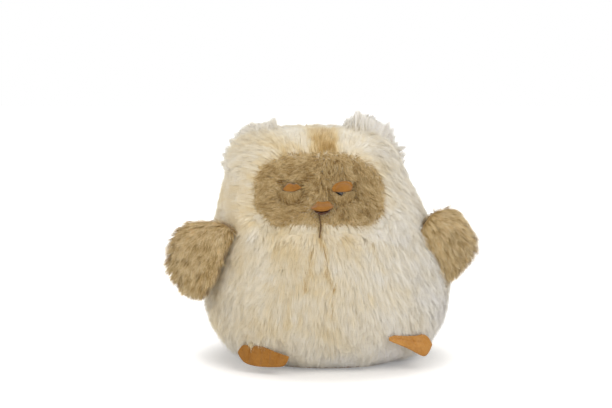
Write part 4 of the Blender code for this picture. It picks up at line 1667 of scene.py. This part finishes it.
@dataclass
class Wing:
    """A flat stuffed wing in short tan fur."""

    side: str
    outward: float
    detail: int = 5
    evening: int = 4
    depth: float = 3.0 * MM
    filling_share: float = 0.82
    density: float = 11.0e6
    length: float = 6.0 * MM
    tint: float = 0.56
    trims: tuple[tuple[Pixel, Pixel], ...] = ()
    trim_keep: float = 0.25
    swirl: Ripple = Ripple(0.3, 14 * MM, 0)
    patches: tuple[Ripple, ...] = (Ripple(0.09, 11 * MM, 1), Ripple(0.06, 4.5 * MM, 2))
    shoulder: Span = (24 * MM, 30 * MM)
    upper: Span = (2 * MM, 20 * MM)
    inner: Span = (8 * MM, 20 * MM)
    fan: float = 0.15
    spread: float = 0.30
    upper_spread: float = 0.35
    # Painted shade: the wing's inner side, towards the body, is tinted darker.
    inner_painted_shade: float = 0.22
    upper_lighter: float = 0.05
    inner_shorter: float = 0.25
    rim_longer: float = 0.40
    rim_facing: float = -0.25
    root_lift: float = 46.0
    tip_lift: float = 17.0
    rim_root_lift: float = 16.0
    rim_tip_lift: float = 34.0
    coat: Coat = Coat(
        0.17 * MM, 1.0 * MM, 3.0 * MM, stray=math.radians(11), lock_turn=math.radians(10),
        tuft_turn=math.radians(11), tint_spread=0.12, lock_tint=0.10, tuft_tint=0.07, lock_pull=0.30,
        tuft_pull=0.16, softness=0.85,
    )

    def _trimmed(self, form: RoundForm) -> RoundForm:
        """The form drawn in where it passes the picture's trim lines, which cut off what is on their left."""
        places = form.places.copy()
        middle = places.mean(0)
        for start, end in self.trims:
            first, last = (VIEW.level_with(pixel, middle) for pixel in (start, end))
            way = unit(last - first)
            over = unit(np.cross(way, VIEW.ahead))
            beyond = np.maximum((places - first) @ over, 0.0)
            places = places - beyond[:, None] * (1 - self.trim_keep) * over
        return RoundForm(form.centre, places, form.triangles, form.edges)

    def build(self, seed: int) -> None:
        """Builds the wing's hide, filling and coat."""
        body = f"wing_{self.side}"
        panels = (f"{body}_front_panel", f"{body}_back_panel")
        centre = np.mean([np.mean(box_of(panel), axis=0) for panel in panels], axis=0)
        outer = self._trimmed(RoundForm.under(panels, centre, self.detail, self.evening))
        hide = outer.sunk(self.depth)
        settle(hide.piece(f"hide_{body}"), body, Finish.TAN_HIDE, panels)
        filling = hide.shrunk(self.filling_share).piece(f"filling_{body}")
        settle(filling, body, Finish.FILLING, (f"{body}_stuffing",))
        draw = np.random.default_rng(seed)
        spots = hide.scattered(self.density, draw)
        places, normals = spots.of(hide.places), unit(spots.of(hide.normals()))
        x, z = places[:, 0], places[:, 2]
        shoulder = centre + np.array([-self.outward * self.shoulder[0], 0.0, self.shoulder[1]])
        down = Lie(side=self.fan * self.outward, up=-1.0).over(x)
        away = arrows(x - shoulder[0], 0.0, z - shoulder[2])
        upper = ease(z - centre[2], *self.upper)
        flow = down + (unit(away) - down) * (self.spread + self.upper_spread * upper)[:, None]
        comb = turned(on_surface(flow, normals), normals, self.swirl.over(places, seed))
        inner = ease(-self.outward * (x - centre[0]), *self.inner)
        broad, fine = (patch.over(places, seed) for patch in self.patches)
        tint = self.tint + broad + fine - self.inner_painted_shade * inner * (1 - upper / 2)
        tint = tint + self.upper_lighter * upper
        rim = np.maximum(normals @ unit(np.array([self.outward, 0.0, self.rim_facing])), 0.0) ** 2
        length = self.length * (1 - self.inner_shorter * inner + self.rim_longer * rim)
        root_lift = math.radians(self.root_lift) + math.radians(self.rim_root_lift) * rim
        tip_lift = math.radians(self.tip_lift) + math.radians(self.rim_tip_lift) * rim
        roots = Roots(places, normals, comb, length, tint, root_lift, tip_lift)
        settle(self.coat.piece(f"fur_{body}", roots, draw), body, Finish.TAN_FUR, panels)


# Suede pieces


@dataclass
class Base:
    """The suede disc that closes the pelt underneath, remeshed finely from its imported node."""

    voxel: float = 0.8 * MM
    roundings: int = 2
    nap: Ripple = Ripple(0.05 * MM, 1.6 * MM, 61)

    def build(self) -> None:
        """Builds the disc."""
        coarse = placed("suede_base", bpy.data.objects["base_panel"].data.copy())
        remesh = coarse.modifiers.new("fine", "REMESH")
        remesh.mode = "VOXEL"
        remesh.voxel_size = self.voxel
        smooth = coarse.modifiers.new("rounded", "SMOOTH")
        smooth.iterations = self.roundings
        mesh = evaluated(coarse)
        coarse.modifiers.clear()
        coarse.data = mesh
        mesh.name = "suede_base"
        places, normals = rows_of(mesh.vertices, "co"), rows_of(mesh.vertex_normals, "vector")
        places = places + normals * self.nap.over(places)[:, None]
        mesh.vertices.foreach_set("co", places.astype(np.float32).ravel())
        smoothed(mesh).update()
        settle(coarse, BODY, Finish.SUEDE, ("base_panel",))


def drawn(line: Sequence[Pixel], shares: Array, rounds: int = 3) -> Array:
    """Pixels along a smooth line.

    Args:
        line: The line's corners.
        shares: How far along it, from 0 to 1.
        rounds: How often its corners are cut.

    Returns:
        One pixel for each share.
    """
    points = np.array(line, float)
    for _ in range(rounds):
        first, second = points[:-1], points[1:]
        middle = np.stack([0.75 * first + 0.25 * second, 0.25 * first + 0.75 * second], axis=1).reshape(-1, 2)
        points = np.concatenate([points[:1], middle[1:-1], points[-1:]])
    steps = np.concatenate([[0.0], np.cumsum(np.linalg.norm(np.diff(points, axis=0), axis=1))])
    return np.stack([np.interp(shares * steps[-1], steps, points[:, i]) for i in range(2)], axis=1)


@dataclass(frozen=True)
class Leaf:
    """A small suede form whose lower and upper edges are drawn in the picture, both from left to right."""

    lower: tuple[Pixel, ...]
    upper: tuple[Pixel, ...]
    columns: int = 40
    rows: int = 22

    def pixels(self) -> tuple[Array, Array, Array]:
        """The form's grid: its pixels, and how far across and up each is."""
        across, up = np.linspace(0, 1, self.columns), np.linspace(0, 1, self.rows)
        low, high = drawn(self.lower, across), drawn(self.upper, across)
        grid = low[:, None] + (high - low)[:, None] * up[None, :, None]
        return grid, np.repeat(across[:, None], self.rows, 1), np.repeat(up[None], self.columns, 0)

    def piece(self, name: str, front: Array, back: Array) -> bpy.types.Object:
        """Makes the closed form.

        Args:
            name: The piece's name.
            front: The y of its front at each place of the grid.
            back: The y of its back.

        Returns:
            The mesh object.
        """
        grid = self.pixels()[0]
        layers = [
            np.array([VIEW.at_depth(pixel, y) for pixel, y in zip(grid.reshape(-1, 2), layer.ravel())])
            for layer in (front, back)
        ]
        size = self.columns * self.rows
        index = np.arange(size).reshape(self.columns, self.rows)
        quads = np.stack([index[:-1, :-1], index[1:, :-1], index[1:, 1:], index[:-1, 1:]], axis=-1)
        quads = quads.reshape(-1, 4)
        rim = np.concatenate([index[:, 0], index[-1, 1:], index[-2::-1, -1], index[0, -2:0:-1]])
        after = np.roll(rim, -1)
        wall = np.stack([after, rim, rim + size, after + size], axis=-1)
        faces = np.concatenate([quads, quads[:, ::-1] + size, wall])
        shop = bmesh.new()
        corners = [shop.verts.new(p) for p in np.concatenate(layers).tolist()]
        for face in faces:
            shop.faces.new([corners[i] for i in face])
        bmesh.ops.remove_doubles(shop, verts=shop.verts, dist=0.02 * MM)
        bmesh.ops.recalc_face_normals(shop, faces=shop.faces)
        mesh = bpy.data.meshes.new(name)
        shop.to_mesh(mesh)
        shop.free()
        return placed(name, smoothed(mesh))


@dataclass
class Foot:
    """A flat, crumpled suede foot on its hinge."""

    side: str
    finish: Finish
    outline: Leaf
    folds: tuple[tuple[Pixel, ...], ...]
    thickness: float = 2.6 * MM
    rim: float = 0.45
    fold_depth: float = 0.6 * MM
    fold_width: float = 1.1
    crumple: Ripple = Ripple(0.35 * MM, 9 * MM, 61)
    fine_crumple: Ripple = Ripple(0.1225 * MM, 2.5 * MM, 62)
    squareness: int = 8
    back_crumple: float = 0.8
    tuck: tuple[Pixel, Pixel] | None = None
    tuck_slope: float = 0.28 * MM

    def build(self, joints: list[dict]) -> None:
        """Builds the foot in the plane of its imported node."""
        body = f"foot_{self.side}"
        joint = next(j for j in joints if j["child"] == body)
        axis, hinge = unit(np.array(joint["axis"], float)), np.array(joint["pos_m"], float)
        middle = np.mean(box_of(body), axis=0)
        ahead = middle - hinge
        ahead = unit(ahead - axis * (ahead @ axis))
        facing = unit(np.cross(axis, ahead))
        grid, across, up = self.outline.pixels()
        flat = grid.reshape(-1, 2)
        ways = np.array([VIEW.ray(pixel) for pixel in flat])
        places = VIEW.place + ways * (((middle - VIEW.place) @ facing) / (ways @ facing))[:, None]
        crown = (1 - (2 * across - 1) ** self.squareness) * (1 - (2 * up - 1) ** self.squareness)
        plump = self.rim + (1 - self.rim) * np.sqrt(crown).ravel()
        shift = (self.crumple.over(places) + self.fine_crumple.over(places)) * plump
        for fold in self.folds:
            away = near_line(flat, np.array(fold)) / self.fold_width
            shift = shift + self.fold_depth * plump * np.exp(-away ** 2)
        if self.tuck is not None:
            start, end = np.array(self.tuck)
            way = unit(end - start)
            shift = shift + self.tuck_slope * np.maximum((flat - start) @ np.array([-way[1], way[0]]), 0.0)
        half = self.thickness / 2
        front = (places[:, 1] - half * plump + shift).reshape(grid.shape[:2])
        back = (places[:, 1] + half * plump + self.back_crumple * shift).reshape(grid.shape[:2])
        piece = self.outline.piece(f"suede_{body}", front, back)
        settle(piece, body, self.finish, (body,))


@dataclass
class FaceTrim:
    """The bead eyes, their washers, the suede lids and beak with the painted shade of its mouth, and the seam
    under the beak.
    """

    face: BVHTree
    lids: dict[str, Leaf] = field(default_factory=lambda: {
        "left": Leaf(
            ((282.4, 189.6), (286, 191.8), (296, 192), (302, 187.8)),
            ((282.4, 189.6), (286.5, 184), (290, 182.4), (293.5, 184.4), (297, 183.4), (302, 187.8)),
        ),
        "right": Leaf(
            ((331.8, 188.6), (332.4, 192), (338, 192.4), (346, 192.4), (351.6, 191.4), (352.8, 187)),
            ((331.8, 188.6), (333.6, 184.4), (338, 181.8), (344, 180.7), (349, 180.9), (352.2, 182.6),
             (352.8, 187)),
        ),
    })
    lid_thickness: float = 0.7 * MM
    lid_gap: float = 0.35 * MM
    lid_lift: float = 0.1 * MM
    lid_margin: float = 1.6 * MM
    lid_dome: float = 6 * MM
    wrinkle: float = 0.12 * MM
    beak: Leaf = Leaf(
        ((310.6, 207.6), (313, 210), (320.5, 211.8), (329, 210.4), (334, 206.8)),
        ((310.6, 207.6), (315, 205), (317.6, 200.6), (321, 202.4), (329, 200.8), (331.6, 204), (334, 206.8)),
    )
    beak_rise: float = 4.4 * MM
    beak_root: float = 1.6 * MM
    beak_sink: float = 0.4 * MM
    beak_fullness: float = 0.7
    beak_fold: float = 0.26
    beak_puff: float = 0.25 * MM
    mouth_shade_lift: float = 0.1 * MM
    # Painted shade: dark suede pieces under the beak, where there is only the mouth's shade.
    mouth_shade: Leaf = Leaf(((312.6, 208.6), (316, 212.6), (321.5, 213.8), (328, 212.4), (332.4, 208.4)),
                       ((312.6, 208.6), (317, 208), (321.5, 208), (327, 208), (332.4, 208.4)))
    mouth_shade_rise: float = 1.6 * MM
    lip: Leaf = Leaf(((313.6, 210.8), (317, 213.4), (321.5, 215.4), (327, 213.6), (331.0, 210.4)),
                     ((313.6, 210.8), (317, 212.2), (321.5, 213.2), (327, 212.2), (331.0, 210.4)))
    lip_shade_rise: float = 2.8 * MM
    seam: tuple[Pixel, ...] = (
        (319, 213.5), (319.2, 217), (320.4, 221), (321, 226), (320.2, 231), (319.4, 238),
    )
    seam_rows: tuple[float, ...] = (213.5, 219, 225, 231, 238)
    seam_depths: tuple[float, ...] = (1.1 * MM, 1.1 * MM, 2.4 * MM, 1.9 * MM, 1.6 * MM)
    thread: float = 0.45 * MM
    thread_points: int = 40
    thread_ends: float = 0.55

    def build(self) -> None:
        """Builds the face's small pieces."""
        for side, leaf in self.lids.items():
            self._lid(side, leaf)
            self._finish_node(f"eye_{side}", Finish.EYE_BLACK)
            self._finish_node(f"eye_washer_{side}", Finish.WASHER_WHITE)
        self._beak()
        self._seam()

    def _surface(self, grid: Array) -> Array:
        """The y at which each pixel of a grid meets the face's fur."""
        found = [VIEW.beside(self.face, pixel)[1] for pixel in grid.reshape(-1, 2)]
        return np.array(found).reshape(grid.shape[:2])

    def _lid(self, side: str, leaf: Leaf) -> None:
        """Builds a lid that lies on its bead and tucks into the fur at its corners."""
        low, high = box_of(f"eye_{side}")
        middle, radius = (low + high) / 2, (high[0] - low[0]) / 2
        grid, across, up = leaf.pixels()
        level = self._surface(grid) + self.lid_lift
        places = np.array([VIEW.at_depth(p, low[1]) for p in grid.reshape(-1, 2)]).reshape(*grid.shape[:2], 3)
        away = np.hypot(places[..., 0] - middle[0], places[..., 2] - middle[2]) / (radius + self.lid_margin)
        dome = low[1] - self.lid_gap + (1 - np.sqrt(np.maximum(1 - away ** 2, 0.0))) * self.lid_dome
        back = np.minimum(level, dome)
        edge = (1 - (2 * across - 1) ** 4) * (1 - (2 * up - 1) ** 6)
        wrinkle = self.wrinkle * np.sin(up * 14 + 2.5 * np.sin(across * 5)) * edge
        front = back - self.lid_thickness * np.sqrt(np.maximum(edge, 0.0)) - wrinkle
        piece = leaf.piece(f"suede_lid_{side}", front, back)
        settle(piece, BODY, Finish.SUEDE_DARK, (f"eyelid_{side}",))

    def _crown(self, across: Array) -> Array:
        """How full the beak is at each share of its width."""
        return np.maximum(1 - (2 * across - 1) ** 2, 0.0) ** self.beak_fullness

    def _beak(self) -> None:
        """Builds the folded beak, and the two dark suede pieces under it that paint the shade of its mouth.
        """
        grid, across, up = self.beak.pixels()
        level = self._surface(grid) + self.beak_sink
        crown = self._crown(across)
        fold = 1 - self.beak_fold + self.beak_fold * ease(up, 0.0, 0.25) - ease(up, 0.3, 1.0)
        puff = self.beak_puff * np.sin(across * 9) * np.sin(up * 5)
        front = level - self.beak_rise * crown * fold - puff * crown
        back = level + self.beak_root * crown
        settle(self.beak.piece("suede_beak", front, back), BODY, Finish.SUEDE_DARK, ("beak",))
        # The fold and the lip are dark pieces of painted shade.
        for part, leaf, rise in (("fold", self.mouth_shade, self.mouth_shade_rise), ("lip", self.lip, self.lip_shade_rise)):
            grid, across, up = leaf.pixels()
            level = self._surface(grid) + self.beak_sink
            crown = self._crown(across)
            front = level - rise * crown * np.sqrt(np.maximum(1 - (2 * up - 1) ** 4, 0.0)) - self.mouth_shade_lift
            back = level + self.beak_root * crown
            piece = leaf.piece(f"suede_beak_{part}", front, back)
            settle(piece, BODY, Finish.SUEDE_FOLD, ("beak",))

    def _seam(self) -> None:
        """Builds the thread that shows between the chin's two rolls of fur."""
        pixels = drawn(self.seam, np.linspace(0, 1, self.thread_points))
        depths = np.interp(pixels[:, 1], self.seam_rows, self.seam_depths)
        line = [VIEW.beside(self.face, pixel) + VIEW.ahead * depth for pixel, depth in zip(pixels, depths)]
        curve = bpy.data.curves.new("seam_thread", "CURVE")
        curve.dimensions = "3D"
        spline = curve.splines.new("POLY")
        spline.points.add(len(line) - 1)
        for i, (point, place) in enumerate(zip(spline.points, line)):
            point.co = (*place, 1.0)
            point.radius = self.thread_ends + (1 - self.thread_ends) * math.sin(math.pi * i / len(line))
        curve.bevel_depth = self.thread
        curve.bevel_resolution = 3
        holder = placed("seam_thread", curve)
        mesh = evaluated(holder)
        bpy.data.objects.remove(holder)
        settle(placed("seam_thread", smoothed(mesh)), BODY, Finish.THREAD)

    @staticmethod
    def _finish_node(node: str, finish: Finish) -> None:
        """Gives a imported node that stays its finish."""
        piece = bpy.data.objects[node]
        piece.data.materials.clear()
        piece.data.materials.append(finish.made())
        LOG.info("%s: packed node, %s", node, finish.name)


# Studio


@dataclass
class Studio:
    """A pale floor and soft lamps."""

    room: float = 6.0
    ambient: float = 0.60
    floor_colour: Colour = (0.86, 0.835, 0.80)
    floor_grain: float = 0.985
    floor_lumps: float = 30.0
    floor_roughness: float = 0.9
    floor_glow: float = 0.27
    floor_fade: tuple[float, float] = (0.058, 0.110)
    lamps: tuple[tuple[tuple[float, float, float], float, float], ...] = (
        ((0.70, -0.95, 0.95), 0.8, 7.5),
        ((-0.95, -0.80, 0.50), 0.9, 3.8),
        ((0.05, 0.55, 1.30), 0.8, 1.1),
    )

    def build(self) -> None:
        """Adds the floor, the world and the lamps."""
        self._floor()
        self._world()
        for i, (place, size, power) in enumerate(self.lamps):
            data = bpy.data.lights.new(f"softbox_{i}", "AREA")
            data.size = size
            data.energy = power
            lamp = placed(f"softbox_{i}", data)
            lamp.location = place
            aim = Vector(VIEW.target) - Vector(place)
            lamp.rotation_euler = aim.to_track_quat("-Z", "Y").to_euler()

    @staticmethod
    def _seen(paint: Paint) -> Shade:
        """1 for rays that show the background: from the camera, a gloss or a clear piece."""
        path = paint.node("ShaderNodeLightPath")
        names = ("Is Camera Ray", "Is Glossy Ray", "Is Transmission Ray")
        camera, glossy, through = (Shade(paint, path.outputs[name]) for name in names)
        return camera + glossy + through

    def _floor(self) -> None:
        """A wide floor that glows where it is looked at, so it is white: faintly near the owl, where it keeps
        the shadow, and fully further out, which is painted light over the shadow there.
        """
        half = self.room / 2
        corners = np.array([[-half, -half, 0], [half, -half, 0], [half, half, 0], [-half, half, 0]], float)
        floor = solid_piece("floor", corners, np.array([[0, 1, 2, 3]]))
        paint = Paint.named("floor")
        grain = paint.noise(self.floor_lumps)
        place = paint.out("ShaderNodeTexCoord", socket="Object")
        reach = paint.out("ShaderNodeVectorMath", {"operation": "LENGTH"}, {0: place}, "Value")
        far = paint.out("ShaderNodeMapRange", {"interpolation_type": "SMOOTHSTEP"},
                        {"Value": reach, "From Min": self.floor_fade[0], "From Max": self.floor_fade[1]})
        darker = tuple(self.floor_grain * part for part in self.floor_colour)
        matt = paint.mixed(grain, opaque(self.floor_colour), opaque(darker))
        floor.data.materials.append(paint.surface({
            "Base Color": matt,
            "Roughness": self.floor_roughness,
            "Specular IOR Level": 0.0,
            "Emission Color": (1.0, 1.0, 1.0, 1.0),
            "Emission Strength": self._seen(paint) * (self.floor_glow + far * (1 - self.floor_glow)),
        }))

    def _world(self) -> None:
        """An even pale surround that shows white."""
        world = bpy.data.worlds.new("surround")
        bpy.context.scene.world = world
        paint = Paint(world)
        strength = self._seen(paint) * (1.0 - self.ambient) + self.ambient
        glow = paint.out("ShaderNodeBackground", {}, {"Color": (1.0, 1.0, 1.0, 1.0), "Strength": strength})
        paint.node("ShaderNodeOutputWorld", {}, {"Surface": glow})


# Owl


LEFT_FOOT = Leaf(
    ((237.6, 352), (240, 358), (245, 363.6), (257, 366.8), (272, 367.4), (284, 367), (287.6, 361.5)),
    ((237.6, 352), (242, 344.6), (248.6, 345), (251, 348.8), (255, 344.8), (262, 346), (270, 349.4),
     (279, 353.2), (285, 355), (289.2, 356.6)),
    90, 44,
)
RIGHT_FOOT = Leaf(
    ((389, 340.6), (393, 342.6), (407, 348), (420, 355.4), (425.6, 357), (430, 351), (432.4, 344.5)),
    ((389, 337.2), (394.5, 335), (406, 336), (418, 335.4), (422, 333.6), (428.6, 336.4), (432.4, 344.5)),
    90, 44,
)
LEFT_FOLDS = (
    ((251, 348), (248, 362)), ((262, 348), (259, 365)), ((270, 352), (268, 364)), ((280, 355), (277, 365)),
)
RIGHT_FOLDS = (((394, 338.5), (408, 341), (424, 343)), ((411, 337), (416, 346)))
RIGHT_TUCK = ((410, 346.5), (433, 347.5))
LEFT_WING_TRIMS = (((239, 231), (205, 296)),)
RIGHT_WING_TRIMS = (((448, 202), (480, 244)), ((417, 226), (435, 202)), ((476, 250), (447, 281)))


def main() -> None:
    """Builds the camera, the owl's sub-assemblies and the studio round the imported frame."""
    logging.basicConfig(level=logging.INFO, format="%(name)s %(message)s")
    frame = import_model()
    bpy.context.scene.view_settings.view_transform = "Standard"
    VIEW.build()
    pelt = Pelt()
    pelt.build()
    CreamCoat(pelt).build()
    FaceCoat(pelt).build()
    EarTuft("left").build()
    EarTuft("right").build()
    # The left wing's lower tint is painted shade for the owl's less lit left side.
    Wing("left", -1.0, tint=0.51, trims=LEFT_WING_TRIMS).build(41)
    Wing("right", 1.0, trims=RIGHT_WING_TRIMS).build(51)
    # The left foot's darker suede is partly painted shade.
    Foot("left", Finish.SUEDE_DARK, LEFT_FOOT, LEFT_FOLDS).build(frame["joints"])
    Foot("right", Finish.SUEDE, RIGHT_FOOT, RIGHT_FOLDS, tuck=RIGHT_TUCK).build(frame["joints"])
    FaceTrim(pelt.outer.tree()).build()
    Base().build()
    Studio().build()


if __name__ == "__main__":
    main()
